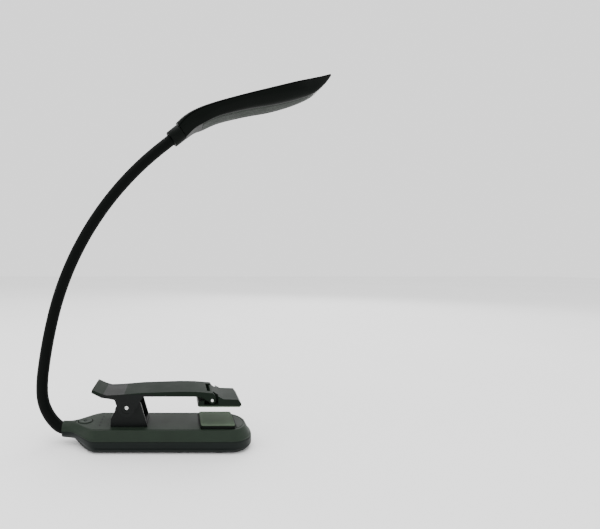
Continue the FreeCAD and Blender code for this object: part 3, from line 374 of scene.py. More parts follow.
def welded(mesh: bpy.types.Mesh) -> None:
    """Joins doubled points and turns every face outwards."""
    build = bmesh.new()
    build.from_mesh(mesh)
    bmesh.ops.remove_doubles(build, verts=build.verts, dist=WELD)
    bmesh.ops.recalc_face_normals(build, faces=build.faces)
    build.to_mesh(mesh)
    build.free()


def placed(name: str, mesh: bpy.types.Mesh) -> bpy.types.Object:
    """An object for a mesh, at the origin and in the scene."""
    made = bpy.data.objects.new(name, mesh)
    bpy.context.scene.collection.objects.link(made)
    return made


def loft(name: str, rings: Sequence[Sequence[Sequence[float]]], capped: bool = True) -> bpy.types.Object:
    """Joins closed rings of equal count into a skin, with flat ends.

    Args:
        name: Object name.
        rings: Closed rings of points in millimetres.
        capped: Whether the first and last ring are filled.

    Returns:
        The object.
    """
    count = len(rings[0])
    points = [p for ring in rings for p in ring]
    faces = []
    for n in range(len(rings) - 1):
        for k in range(count):
            a = n * count + k
            b = n * count + (k + 1) % count
            faces.append((a, b, b + count, a + count))
    if capped:
        faces.append(tuple(reversed(range(count))))
        faces.append(tuple(range((len(rings) - 1) * count, len(rings) * count)))
    return to_mesh(name, points, faces)


def lathe(
    name: str, profile: Outline, start: Vector, along: Vector, sides: int = 64
) -> bpy.types.Object:
    """Turns a profile of (distance along, radius) about an axis.

    Args:
        name: Object name.
        profile: Distances and radii in millimetres.
        start: Where distance 0 is, in millimetres.
        along: The axis.
        sides: Number of sides.

    Returns:
        The object.
    """
    along = along.normalized()
    first = along.orthogonal().normalized()
    second = along.cross(first)
    rings = []
    for distance, radius in profile:
        ring = []
        for k in range(sides):
            angle = 2 * math.pi * k / sides
            spoke = first * math.cos(angle) + second * math.sin(angle)
            ring.append(start + along * distance + spoke * radius)
        rings.append(ring)
    return loft(name, rings)


def flatten(target: bpy.types.Object) -> bpy.types.Object:
    """Turns the evaluated object into a plain mesh and drops its modifiers."""
    bpy.context.view_layer.update()
    graph = bpy.context.evaluated_depsgraph_get()
    mesh = bpy.data.meshes.new_from_object(target.evaluated_get(graph))
    target.modifiers.clear()
    target.data = mesh
    return target


def soften(target: bpy.types.Object, angle: float = 40.0) -> bpy.types.Object:
    """Shades smooth, with edges sharper than the angle kept crisp."""
    for face in target.data.polygons:
        face.use_smooth = True
    target.data.set_sharp_from_angle(angle=math.radians(angle))
    return target


def bevelled(
    target: bpy.types.Object, width: float, segments: int = 3, angle: float = 32.0
) -> bpy.types.Object:
    """Rounds every edge sharper than the angle.

    Args:
        target: The object.
        width: Width of the rounding in millimetres.
        segments: Number of segments.
        angle: Smallest edge angle that is rounded, in degrees.

    Returns:
        The object, flattened.
    """
    modifier = target.modifiers.new("edge_rounding", "BEVEL")
    modifier.width = width * MM
    modifier.segments = segments
    modifier.limit_method = "ANGLE"
    modifier.angle_limit = math.radians(angle)
    modifier.miter_outer = "MITER_ARC"
    modifier.use_clamp_overlap = True
    soften(flatten(target))
    weights = target.modifiers.new("face_weights", "WEIGHTED_NORMAL")
    weights.keep_sharp = True
    return flatten(target)


def cut(target: bpy.types.Object, tools: Sequence[bpy.types.Object]) -> bpy.types.Object:
    """Takes the tools' shapes out of the target and deletes the tools.

    Args:
        target: The object to cut.
        tools: The shapes to take out.

    Returns:
        The cut object.

    Raises:
        RuntimeError: A cut left nothing, or changed nothing.
    """
    for tool in tools:
        faces = len(target.data.polygons)
        modifier = target.modifiers.new("cut", "BOOLEAN")
        modifier.operation = "DIFFERENCE"
        modifier.solver = "EXACT"
        modifier.object = tool
        flatten(target)
        left = len(target.data.polygons)
        if left in (0, faces):
            raise RuntimeError(f"cutting {tool.name} from {target.name} left {left} faces of {faces}")
    for tool in tools:
        bpy.data.objects.remove(tool)
    return target


def plain_copy(node: str, name: str) -> bpy.types.Object:
    """A copy of a CAD node's shape with its flat faces merged."""
    mesh = frame["nodes"][node].data.copy()
    mesh.materials.clear()
    build = bmesh.new()
    build.from_mesh(mesh)
    bmesh.ops.remove_doubles(build, verts=build.verts, dist=CAD_WELD)
    bmesh.ops.dissolve_limit(build, angle_limit=FLAT, verts=build.verts, edges=build.edges)
    build.to_mesh(mesh)
    build.free()
    return placed(name, mesh)


def moulded_copy(node: str, name: str, width: float, segments: int = 3) -> bpy.types.Object:
    """A copy of a CAD node's shape with its edges rounded as a moulding's are.

    Args:
        node: The CAD node.
        name: Name of the new piece.
        width: Rounding width in millimetres.
        segments: Rounding segments.

    Returns:
        The new object.
    """
    return bevelled(plain_copy(node, name), width, segments)


def swept_tree() -> bpy.types.NodeTree:
    """The Geometry Nodes tree that turns a line of points into a round tube with closed ends."""
    made = bpy.data.node_groups.get("swept_tube")
    if made:
        return made
    tree = bpy.data.node_groups.new("swept_tube", "GeometryNodeTree")
    face = tree.interface
    face.new_socket("Line", in_out="INPUT", socket_type="NodeSocketGeometry")
    radius = face.new_socket("Radius", in_out="INPUT", socket_type="NodeSocketFloat")
    radius.default_value = 0.001
    sides = face.new_socket("Sides", in_out="INPUT", socket_type="NodeSocketInt")
    sides.default_value = 32
    face.new_socket("Finish", in_out="INPUT", socket_type="NodeSocketMaterial")
    face.new_socket("Tube", in_out="OUTPUT", socket_type="NodeSocketGeometry")
    add = tree.nodes.new
    link = tree.links.new
    inputs = add("NodeGroupInput")
    output = add("NodeGroupOutput")
    curve = add("GeometryNodeMeshToCurve")
    ring = add("GeometryNodeCurvePrimitiveCircle")
    sweep = add("GeometryNodeCurveToMesh")
    smooth = add("GeometryNodeSetShadeSmooth")
    realize = add("GeometryNodeRealizeInstances")
    paint = add("GeometryNodeSetMaterial")
    sweep.inputs["Fill Caps"].default_value = True
    link(inputs.outputs["Line"], curve.inputs["Mesh"])
    link(inputs.outputs["Radius"], ring.inputs["Radius"])
    link(inputs.outputs["Sides"], ring.inputs["Resolution"])
    link(curve.outputs["Curve"], sweep.inputs["Curve"])
    link(ring.outputs["Curve"], sweep.inputs["Profile Curve"])
    link(sweep.outputs["Mesh"], smooth.inputs["Geometry"])
    link(smooth.outputs["Geometry"], realize.inputs["Geometry"])
    link(realize.outputs["Geometry"], paint.inputs["Geometry"])
    link(inputs.outputs["Finish"], paint.inputs["Material"])
    link(paint.outputs["Geometry"], output.inputs["Tube"])
    return tree


def nodes_modifier(target: bpy.types.Object, tree: bpy.types.NodeTree, values: dict[str, object]) -> None:
    """Adds a Geometry Nodes modifier and sets its inputs by their sockets' identifiers."""
    modifier = target.modifiers.new(tree.name, "NODES")
    modifier.node_group = tree
    for item in tree.interface.items_tree:
        if item.item_type == "SOCKET" and item.in_out == "INPUT" and item.name in values:
            modifier[item.identifier] = values[item.name]


def swept(
    name: str, points: Sequence[Vector], radius: float, finish: Finish, sides: int = 32
) -> bpy.types.Object:
    """A round tube along points in millimetres.

    Args:
        name: Object name.
        points: The centre line.
        radius: Tube radius in millimetres.
        finish: Its finish.
        sides: Sides of its section.

    Returns:
        The tube as a plain mesh.
    """
    mesh = bpy.data.meshes.new(name)
    mesh.from_pydata([p * MM for p in points], [(n, n + 1) for n in range(len(points) - 1)], [])
    made = placed(name, mesh)
    nodes_modifier(made, swept_tree(), {"Radius": radius * MM, "Sides": sides, "Finish": finish.material()})
    flatten(made)
    welded(made.data)
    return soften(made, 50.0)


def finish_piece(
    piece: bpy.types.Object, body: str, finish: Finish, replaced: Sequence[str] = ()
) -> bpy.types.Object:
    """Dresses a piece, puts it on its body and hides the CAD nodes that it replaces.

    Args:
        piece: The object.
        body: The CAD body it rides on.
        finish: Its finish.
        replaced: CAD nodes that it replaces.

    Returns:
        The piece.
    """
    dress(piece, finish)
    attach(piece, body)
    if replaced:
        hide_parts(*replaced)
    LOG.info("%s rides %s, %d faces", piece.name, body, len(piece.data.polygons))
    return piece


def dress(piece: bpy.types.Object, finish: Finish) -> None:
    """Gives a piece one material."""
    piece.data.materials.clear()
    piece.data.materials.append(finish.material())
    for face in piece.data.polygons:
        face.material_index = 0


def corner(node: str, high: bool) -> Vector:
    """A CAD node's lowest or highest corner, in millimetres."""
    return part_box(node)[1 if high else 0] / MM


# ---------------------------------------------------------------- rounded outlines

def rounded_outline(corners: Sequence[tuple[float, float, float]], inset: float, steps: int = 12) -> Outline:
    """A convex outline moved inwards, with each corner rounded.

    Args:
        corners: (x, y, radius) going anticlockwise.
        inset: How far inwards.
        steps: Points in each corner's arc.

    Returns:
        The outline's points, the same number whatever the inset.
    """
    count = len(corners)
    outline: Outline = []
    for n, (x, y, radius) in enumerate(corners):
        before = Vector(corners[n - 1][:2])
        here = Vector((x, y))
        after = Vector(corners[(n + 1) % count][:2])
        into = (here - before).normalized()
        out = (after - here).normalized()
        normal_in = Vector((-into.y, into.x))
        normal_out = Vector((-out.y, out.x))
        half_turn = into.angle_signed(out) * -0.5
        small = max(radius - inset, 0.12)
        bisector = (normal_in + normal_out).normalized()
        vertex = here + bisector * (inset / math.cos(half_turn))
        centre = vertex + bisector * (small / math.cos(half_turn))
        for k in range(steps + 1):
            direction = (-normal_in).slerp(-normal_out, k / steps)
            spot = centre + direction * small
            outline.append((spot.x, spot.y))
    return outline


def stack(name: str, outline: Callable[[float], Outline], levels: Levels) -> bpy.types.Object:
    """Stacks outlines at (height, inset) levels into one closed skin."""
    rings = [[(x, y, height) for x, y in outline(inset)] for height, inset in levels]
    return loft(name, rings)


def prism(name: str, corners: Sequence[Point], low: float, high: float) -> bpy.types.Object:
    """A block with a rounded outline, upright between two heights."""
    return stack(name, lambda inset: rounded_outline(corners, inset, 6), [(low, 0.0), (high, 0.0)])


def quarter(height: float, radius: float, inset: float, up: bool, steps: int = 5) -> Outline:
    """(height, inset) levels of a quarter round that ends flat at the given height.

    Args:
        height: Height of the flat face.
        radius: Radius of the round.
        inset: Inset of the wall it starts from.
        up: True for a top edge, which is listed from the wall to the face.
        steps: Number of steps.

    Returns:
        The levels.
    """
    levels = []
    for k in range(steps + 1):
        angle = math.pi / 2 * k / steps
        drop = radius * (1 - math.sin(angle))
        levels.append((height - drop if up else height + drop, inset + radius * (1 - math.cos(angle))))
    return levels if up else list(reversed(levels))


# ---------------------------------------------------------------- base

@dataclass
class BaseCasing:
    """The battery base: lower tray, upper lid, neck collar, button, lamps and pad.

    Both halves are stacked from plan outlines. An outline runs straight along the base, round the
    nose, and narrows in a soft S into the neck's round collar.

    Attributes:
        nose_round: Plan radius of the nose's corners.
        bottom_round: Radius of the tray's lower edge.
        draft: How far the lid's sides lean in, up to the roof.
        nose_lean: How much further the lid leans in at its nose.
        seam: Half the gap between tray and lid.
        flare_from: Where the sides start to narrow.
        flare_to: Where they have become the collar.
        ramp_from: Where the underside starts to rise.
        collar_radius: Radius of the neck's collar.
        wall: Thickness of the casing's walls.
        dip: How far the parting line drops from the collar to the sides.
        mouth: Radius of the neck's mouth.
        button_way: Radius of the button's hole.
        button_well: Radius of the room under the button for its flange.
        past: How far a cutting shape reaches past what it cuts.
    """

    nose_round: float = 12.6
    bottom_round: float = 3.6
    draft: float = 1.83
    nose_lean: float = 1.2
    seam: float = 0.14
    flare_from: float = -40.5
    flare_to: float = -57.0
    ramp_from: float = -43.5
    collar_radius: float = 4.1
    wall: float = 1.6
    dip: float = 1.1
    mouth: float = 3.32
    button_way: float = 4.05
    button_well: float = 4.7
    past: float = 1.0
    low: Vector = field(default_factory=lambda: corner("lower_shell", False))
    high: Vector = field(default_factory=lambda: corner("lower_shell", True))

    def __post_init__(self) -> None:
        """Reads the places that the frame fixes."""
        self.nose_x = self.high.x
        self.half = self.high.y
        self.split = self.high.z
        self.roof = self.split + self.collar_radius
        self.lift = self.split - self.collar_radius

    def outline(self, height: float, inset: float, collared: bool = True) -> Outline:
        """The plan outline at a height.

        Args:
            height: Height over the table.
            inset: How far the sides stand in from the widest outline.
            collared: Whether the outline runs on into the neck's collar.

        Returns:
            The outline, with the same number of points at every height.
        """
        side = self.half - inset
        lean = self.nose_lean * min(max((height - self.split) / self.collar_radius, 0.0), 1.0)
        nose = self.nose_x - inset - lean
        radius = min(self.nose_round - inset * 0.5, side - 0.3)
        neck = math.sqrt(max(self.collar_radius ** 2 - (height - self.split) ** 2, 0.06))
        end = self.low.x
        if height < self.lift:
            share = math.acos(1 - 2 * max(height, 0.0) / self.lift) / math.pi
            end = self.ramp_from + (self.flare_to - self.ramp_from) * share
        elif not collared:
            end = self.flare_to + 1.2 * inset
        edge: Outline = []
        for k in range(15):
            angle = math.pi / 2 * k / 14
            edge.append((nose - radius + radius * math.cos(angle), side - radius + radius * math.sin(angle)))
        last = max(end, self.flare_to)
        for k in range(21):
            x = self.flare_from + (last - self.flare_from) * k / 20
            share = (x - self.flare_to) / (self.flare_from - self.flare_to)
            edge.append((x, neck + (side - neck) * share * share * (3 - 2 * share)))
        tip = edge[-1][1]
        if end < self.flare_to:
            edge += [((self.flare_to + end) / 2, neck), (end, neck)]
        else:
            edge += [(end, tip * 0.97), (end, tip * 0.9)]
        return edge + [(x, -y) for x, y in reversed(edge)]

    def layers(self, name: str, levels: Levels, collared: bool = True) -> bpy.types.Object:
        """Stacks outlines at (height, inset) levels into one closed skin."""
        rings = [
            [(x, y, self.dipped(x, height)) for x, y in self.outline(height, inset, collared)]
            for height, inset in levels
        ]
        return loft(name, rings)

    def dipped(self, x: float, height: float) -> float:
        """A height, lowered near the parting line and away from the collar."""
        share = min(max((x - self.flare_to) / (self.flare_from - self.flare_to), 0.0), 1.0)
        if height <= self.split:
            near = max(height, 0.0) / self.split
        else:
            near = max(self.roof - height, 0.0) / (self.roof - self.split)
        return height - self.dip * share * share * (3 - 2 * share) * near

    def build(self) -> None:
        """Builds and places every piece of the base."""
        self.tray()
        self.lid()
        self.button()
        self.pad()

    def collar_levels(self, first: float, last: float) -> list[float]:
        """Heights between two angles round the collar, in degrees from level."""
        count = 9
        angles = [first + (last - first) * k / count for k in range(count + 1)]
        return [self.split + self.collar_radius * math.sin(math.radians(a)) for a in angles]

    def neck_way(self) -> bpy.types.Object:
        """The round mouth that the neck comes out of."""
        mouth = Vector((self.low.x - self.past, 0, self.split))
        return lathe("neck_way", [(0.0, self.mouth), (3.2, self.mouth)], mouth, Vector((1, 0, 0)))

    def room(self, low: float, high: float) -> bpy.types.Object:
        """The casing's inner room between two heights."""
        corners = [
            (self.nose_x - 2 * self.wall, -self.half + 2 * self.wall, 8.0),
            (self.nose_x - 2 * self.wall, self.half - 2 * self.wall, 8.0),
            (self.flare_from, self.half - 2 * self.wall, 2.0),
            (self.flare_from, -self.half + 2 * self.wall, 2.0),
        ]
        return prism("inner_room", corners, low, high)

    def tray(self) -> None:
        """The lower tray, in a darker copy of the casing plastic that paints the shade on its upright sides;
        its underside rises under the tail.
        """
        levels = quarter(0.0, self.bottom_round, 0.0, up=False)
        ramp = [0.25, 0.6, 1.1, 1.7, 2.3, 2.9]
        levels = sorted(set(levels) | {(z, self.round_inset(z)) for z in ramp})
        levels += [(z, 0.0) for z in self.collar_levels(-88.0, -8.0)]
        lip = self.split - self.seam
        levels += [(lip - 0.22, 0.0), (lip, 0.16), (lip, 0.9)]
        piece = self.layers("lower_casing", levels)
        cut(piece, [self.neck_way(), self.room(self.wall, self.split + 1.0)])
        soften(piece, 30.0)
        # the tray's darker finish is painted shade on its upright sides
        finish_piece(piece, "base", Finish.CASE_LOWER_PAINTED_SHADE, ["lower_shell"])

    def round_inset(self, height: float) -> float:
        """How far the tray's lower round stands in at a height."""
        rest = max(self.bottom_round - height, 0.0)
        return self.bottom_round - math.sqrt(self.bottom_round ** 2 - rest ** 2)

    def lid(self) -> None:
        """The lid, with a shadow line round its top panel and its openings cut."""
        edge = self.draft
        brink = self.roof - 0.55
        ledge = [(0.0, 0.9), (0.0, 0.12), (0.1, 0.0), (0.3, 0.0), (0.36, 0.1), (0.37, 0.34)]
        levels = [(self.split + up, inset) for up, inset in ledge]
        rise = brink - self.split
        for z in self.collar_levels(8.0, 58.0):
            levels.append((z, 0.36 + (edge - 0.51) * (z - self.split) / rise))
        levels = [level for level in levels if level[0] < brink]
        levels += quarter(self.roof, 0.5, edge - 0.15, up=True)
        levels += [(self.roof, edge + 0.75)]
        piece = self.layers("upper_casing", levels)
        outer, inner = edge + 0.85, edge + 1.25
        groove = self.layers("panel_groove", [(self.roof - 0.3, outer), (self.roof + 0.5, outer)], False)
        plug = self.layers("panel_plug", [(self.roof - 0.6, inner), (self.roof + self.past, inner)], False)
        cut(groove, [plug])
        button_low, button_high = corner("power_button", False), corner("power_button", True)
        middle = (button_low + button_high) / 2
        spot = Vector((middle.x, 0, self.roof - 2.6))
        up = Vector((0, 0, 1))
        tools = [groove, lathe("button_way", [(0.0, self.button_way), (6.0, self.button_way)], spot, up)]
        well = Vector((middle.x, 0, button_low.z - 0.5))
        deep = self.roof - 1.5 - well.z
        tools.append(lathe("button_well", [(0.0, self.button_well), (deep, self.button_well)], well, up))
        low, high = corner("indicator_windows", False), corner("indicator_windows", True)
        for n in range(4):
            y = low.y + 0.74 + (high.y - low.y - 1.48) * n / 3
            spot_low = (low.x - 0.06, y - 0.8, self.roof - 1.6)
            tools.append(self.slab("lamp_way", spot_low, (high.x + 0.06, y + 0.8, self.roof + 1)))
        low, high = corner("base_pad", False), corner("base_pad", True)
        spot_low = (low.x - 0.4, low.y - 0.4, self.roof - 0.5)
        tools.append(self.slab("pad_way", spot_low, (high.x + 0.4, high.y + 0.4, self.roof + 1), 2.2))
        tools += [self.neck_way(), self.room(self.split - 1.0, self.roof - self.wall)]
        cut(piece, tools)
        soften(piece, 30.0)
        finish_piece(piece, "base", Finish.CASE, ["upper_shell"])

    @staticmethod
    def slab(name: str, low: Point, high: Point, radius: float = 0.25) -> bpy.types.Object:
        """A block with rounded upright edges between two corners."""
        corners = [
            (high[0], low[1], radius),
            (high[0], high[1], radius),
            (low[0], high[1], radius),
            (low[0], low[1], radius),
        ]
        return prism(name, corners, low[2], high[2])

    def button(self) -> None:
        """The domed power button with its small on mark."""
        low, high = corner("power_button", False), corner("power_button", True)
        x = (low.x + high.x) / 2
        reach = high.z - low.z
        r = 3.6
        flange = 4.35
        profile = [(0.0, 0.3), (0.0, flange), (0.6, flange), (0.62, r), (reach - 0.45, r)]
        profile += [(reach - 0.18, r - 0.1), (reach - 0.03, r - 0.35), (reach, r - 0.7)]
        profile += [(reach - 0.12, r - 1.5), (reach - 0.2, 0.3)]
        piece = lathe("power_button_cap", profile, Vector((x, 0, low.z)), Vector((0, 0, 1)), 72)
        soften(piece, 35.0)
        finish_piece(piece, "button", Finish.BUTTON, ["power_button"])
        top = high.z - 0.17
        arc = [
            Vector((x + 0.85 * math.cos(math.radians(a)), 0.85 * math.sin(math.radians(a)), top))
            for a in range(-140, 141, 14)
        ]
        ring = swept("power_mark_ring", arc, 0.11, Finish.MARK, 10)
        finish_piece(ring, "button", Finish.MARK)
        bar = swept(
            "power_mark_bar", [Vector((x - 1.15, 0, top)), Vector((x - 0.25, 0, top))], 0.11, Finish.MARK, 10
        )
        finish_piece(bar, "button", Finish.MARK)

    def pad(self) -> None:
        """The silicone pad let into the lid; the sides of its body carry a dark copy of the silicone as
        painted shade.
        """
        low, high = corner("base_pad", False), corner("base_pad", True)
        corners = [(high.x, low.y, 1.9), (high.x, high.y, 1.9), (low.x, high.y, 1.9), (low.x, low.y, 1.9)]
        gap, face = 0.35, 0.32
        under = high.z - face
        levels = [(low.z, gap), (under - 0.12, gap), (under, gap + 0.12), (under, gap + 1.0)]
        body = stack("base_pad_body", lambda inset: rounded_outline(corners, inset, 8), levels)
        soften(body, 35.0)
        # the pad body's sides take painted shade, a dark copy of the silicone
        finish_piece(body, "base", Finish.PAD_SIDE_PAINTED_SHADE, ["base_pad"])
        levels = [(under, gap + 0.16)] + quarter(high.z, 0.22, gap + 0.16, up=True)
        levels += [(high.z, gap + 0.8), (high.z - 0.1, gap + 0.95), (high.z - 0.1, gap + 1.6)]
        piece = stack("base_pad_face", lambda inset: rounded_outline(corners, inset, 8), levels)
        soften(piece, 35.0)
        finish_piece(piece, "base", Finish.PAD, ["base_pad"])


# ---------------------------------------------------------------- clip

@dataclass
class Clip:
    """The sprung clip: bracket, lever, pins, swivelling foot with its sole, and the spring.

    Attributes:
        edge: Rounding of the lever's edges.
        cheek_rise: How far over the pivot the dark cheeks end.
        cheek_reach: How far to each side of the pivot they are looked for.
    """

    edge: float = 0.55
    cheek_rise: float = 7.2
    cheek_reach: float = 14.0

    def build(self) -> None:
        """Builds and places every piece of the clip."""
        bracket = moulded_copy("clip_bracket", "bracket_moulding", 0.35)
        finish_piece(bracket, "base", Finish.BRACKET, ["clip_bracket"])
        self.lever()
        foot = moulded_copy("jaw_foot", "foot_moulding", 0.4)
        finish_piece(foot, "jaw", Finish.ARM, ["jaw_foot"])
        sole = moulded_copy("jaw_pad", "foot_sole", 0.2, 2)
        finish_piece(sole, "jaw", Finish.PAD, ["jaw_pad"])
        self.pin("clip_pivot_pin", "pivot_pin_turned", "base", 1.0)
        self.pin("jaw_pin", "foot_pin_turned", "clip", 0.9)
        self.spring()

    def lever(self) -> None:
        """The lever and, below it, its two dark cheeks with a spot face round the pin."""
        pivot = (corner("clip_pivot_pin", False) + corner("clip_pivot_pin", True)) / 2
        low, high = corner("clip_arm", False), corner("clip_arm", True)
        under = pivot.z + self.cheek_rise
        reach = self.cheek_reach
        zone = [(pivot.x - reach, low.y - 1, low.z - 1), (pivot.x + reach, high.y + 1, under)]
        lever = plain_copy("clip_arm", "lever_moulding")
        cheeks = plain_copy("clip_arm", "lever_cheeks")
        cut(lever, [BaseCasing.slab("cheek_zone", *zone, 0.2)])
        keep = cheeks.modifiers.new("keep", "BOOLEAN")
        keep.operation = "INTERSECT"
        keep.solver = "EXACT"
        keep.object = BaseCasing.slab("cheek_keep", *zone, 0.2)
        flatten(cheeks)
        bpy.data.objects.remove(bpy.data.objects["cheek_keep"])
        ring = [(0.0, 2.9), (0.75, 2.9), (0.8, 1.2)]
        for side in (-1, 1):
            spot = Vector((pivot.x, side * (high.y + 0.5), pivot.z))
            cut(cheeks, [lathe("spot_face", ring, spot, Vector((0, -side, 0)), 48)])
        finish_piece(bevelled(lever, self.edge), "clip", Finish.ARM, ["clip_arm"])
        finish_piece(bevelled(cheeks, 0.2), "clip", Finish.BRACKET, ["clip_arm"])

    def pin(self, node: str, name: str, body: str, radius: float) -> None:
        """A turned pin with a chamfer and a small centre dimple at each end."""
        low, high = corner(node, False), corner(node, True)
        middle = (low + high) / 2
        length = high.y - low.y
        profile = [(0.12, 0.1), (0.1, radius * 0.35), (0.0, radius * 0.5)]
        profile += [(0.0, radius - 0.22), (0.2, radius)]
        profile += [(length - d, r) for d, r in reversed(profile)]
        piece = lathe(name, profile, Vector((middle.x, low.y, middle.z)), Vector((0, 1, 0)), 40)
        soften(piece, 30.0)
        finish_piece(piece, body, Finish.STEEL, [node])

    def spring(self) -> None:
        """The torsion spring: a coil round the pivot with a lower and an upper leg."""
        joint = next(j for j in frame["joints"] if j["name"] == "clip_open")
        pivot = Vector(joint["pos_m"]) / MM
        coil, pitch, turns, wire = 1.95, 1.15, 7.0, 0.45
        width = pitch * turns
        low, high = corner("clip_spring", False), corner("clip_spring", True)
        points = [Vector((pivot.x + 8.5, -width / 2, low.z + wire))]
        steps = int(turns * 24)
        for n in range(steps + 1):
            angle = 2 * math.pi * n / 24
            points.append(Vector((
                pivot.x + coil * math.cos(angle),
                -width / 2 + width * n / steps,
                pivot.z + coil * math.sin(angle),
            )))
        points.append(Vector((pivot.x + 7.0, width / 2, high.z - wire)))
        piece = swept("torsion_spring", points, wire, Finish.SPRING, 14)
        dress(piece, Finish.SPRING)
        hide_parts("clip_spring")
        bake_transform(piece)
        LOG.info("torsion_spring bends between base and clip")


# ---------------------------------------------------------------- neck

@dataclass
class Neck:
    """The flexible neck: one smooth line, cut into sleeves that each cover one joint.

    Attributes:
        radius: Radius of the sleeve.
        run_in: Straight length inside the base's collar.
        bends: (radius, turn in degrees) of each bend, from the base up.
        run_out: Straight length at the head, with the part inside its collar.
        grip: The part of run_out inside the head's collar.
    """

    radius: float = 3.07
    run_in: float = 4.7
    bends: tuple[tuple[float, float], ...] = (
        (8.6, 42.4),
        (24.6, 45.9),
        (72.0, 8.7),
        (267.0, 6.6),
        (165.0, 38.1),
    )
    run_out: float = 16.5
    grip: float = 9.5

    def __post_init__(self) -> None:
        """Works out the runs of the line."""
        self.start = Vector((corner("neck_root", True).x, 0.0, corner("lower_shell", True).z))
        self.runs: list[tuple[float, float]] = [(self.run_in, 0.0)]
        self.runs += [(r * math.radians(turn), r) for r, turn in self.bends]
        self.runs.append((self.run_out, 0.0))
        self.length = sum(run for run, _ in self.runs)

    def at(self, distance: float) -> tuple[Vector, Vector]:
        """The place and direction at a distance along the neck, in millimetres."""
        place = self.start.copy()
        heading = 0.0
        for length, radius in self.runs:
            part = min(distance, length)
            if radius:
                centre = place + Vector((math.sin(heading), 0, math.cos(heading))) * radius
                heading += part / radius
                place = centre - Vector((math.sin(heading), 0, math.cos(heading))) * radius
            else:
                place = place + Vector((-math.cos(heading), 0, math.sin(heading))) * part
            distance -= part
            if distance <= 1e-9:
                break
        return place, Vector((-math.cos(heading), 0, math.sin(heading)))

    def nearest(self, place: Vector) -> float:
        """The distance along the neck that is nearest to a place."""
        steps = 2000
        spots = (self.length * n / steps for n in range(steps + 1))
        return min(spots, key=lambda d: (self.at(d)[0] - place).length)

    def build(self) -> None:
        """Makes one sleeve for each joint."""
        joints = [j for j in frame["joints"] if j["name"].startswith("neck_")]
        joints.sort(key=lambda j: self.nearest(Vector(j["pos_m"]) / MM))
        spots = [self.nearest(Vector(j["pos_m"]) / MM) for j in joints]
        cuts = [self.run_in + 0.6]
        cuts += [(a + b) / 2 for a, b in zip(spots, spots[1:])]
        cuts.append(self.length - self.grip + 2.0)
        nodes = ["neck_root"] + [f"neck_link_{n}" for n in range(1, len(joints))] + ["neck_tip"]
        for n, joint in enumerate(joints):
            first, last = cuts[n], cuts[n + 1]
            steps = max(8, int((last - first) / 0.8))
            points = [self.at(first + (last - first) * k / steps)[0] for k in range(steps + 1)]
            piece = swept(f"neck_sleeve_{n + 1}", points, self.radius, Finish.NECK, 40)
            dress(piece, Finish.NECK)
            stands = [nodes[n]] if n < len(joints) - 1 else nodes[n:]
            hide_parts(*stands)
            start, end = tuple(points[0] * MM), tuple(points[-1] * MM)
            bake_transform(piece)
            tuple(start)
            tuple(end)
            LOG.info("%s bends between %s and %s", piece.name, joint["parent"], joint["child"])


# ---------------------------------------------------------------- light head

@dataclass
class Section:
    """One cross-section of the head: its rim and keel, and the widths there.

    Attributes:
        rim: (along, height) of the rim from the head's root.
        keel: The same of the keel.
        rim_half: Half-width at the rim.
        keel_half: Half-width of the flat keel.
        crown: Height of the lid over the rim.
    """

    rim: tuple[float, float]
    keel: tuple[float, float]
    rim_half: float
    keel_half: float
    crown: float

    def values(self) -> list[float]:
        """The section's seven numbers, for blending between sections."""
        return [*self.rim, *self.keel, self.rim_half, self.keel_half, self.crown]


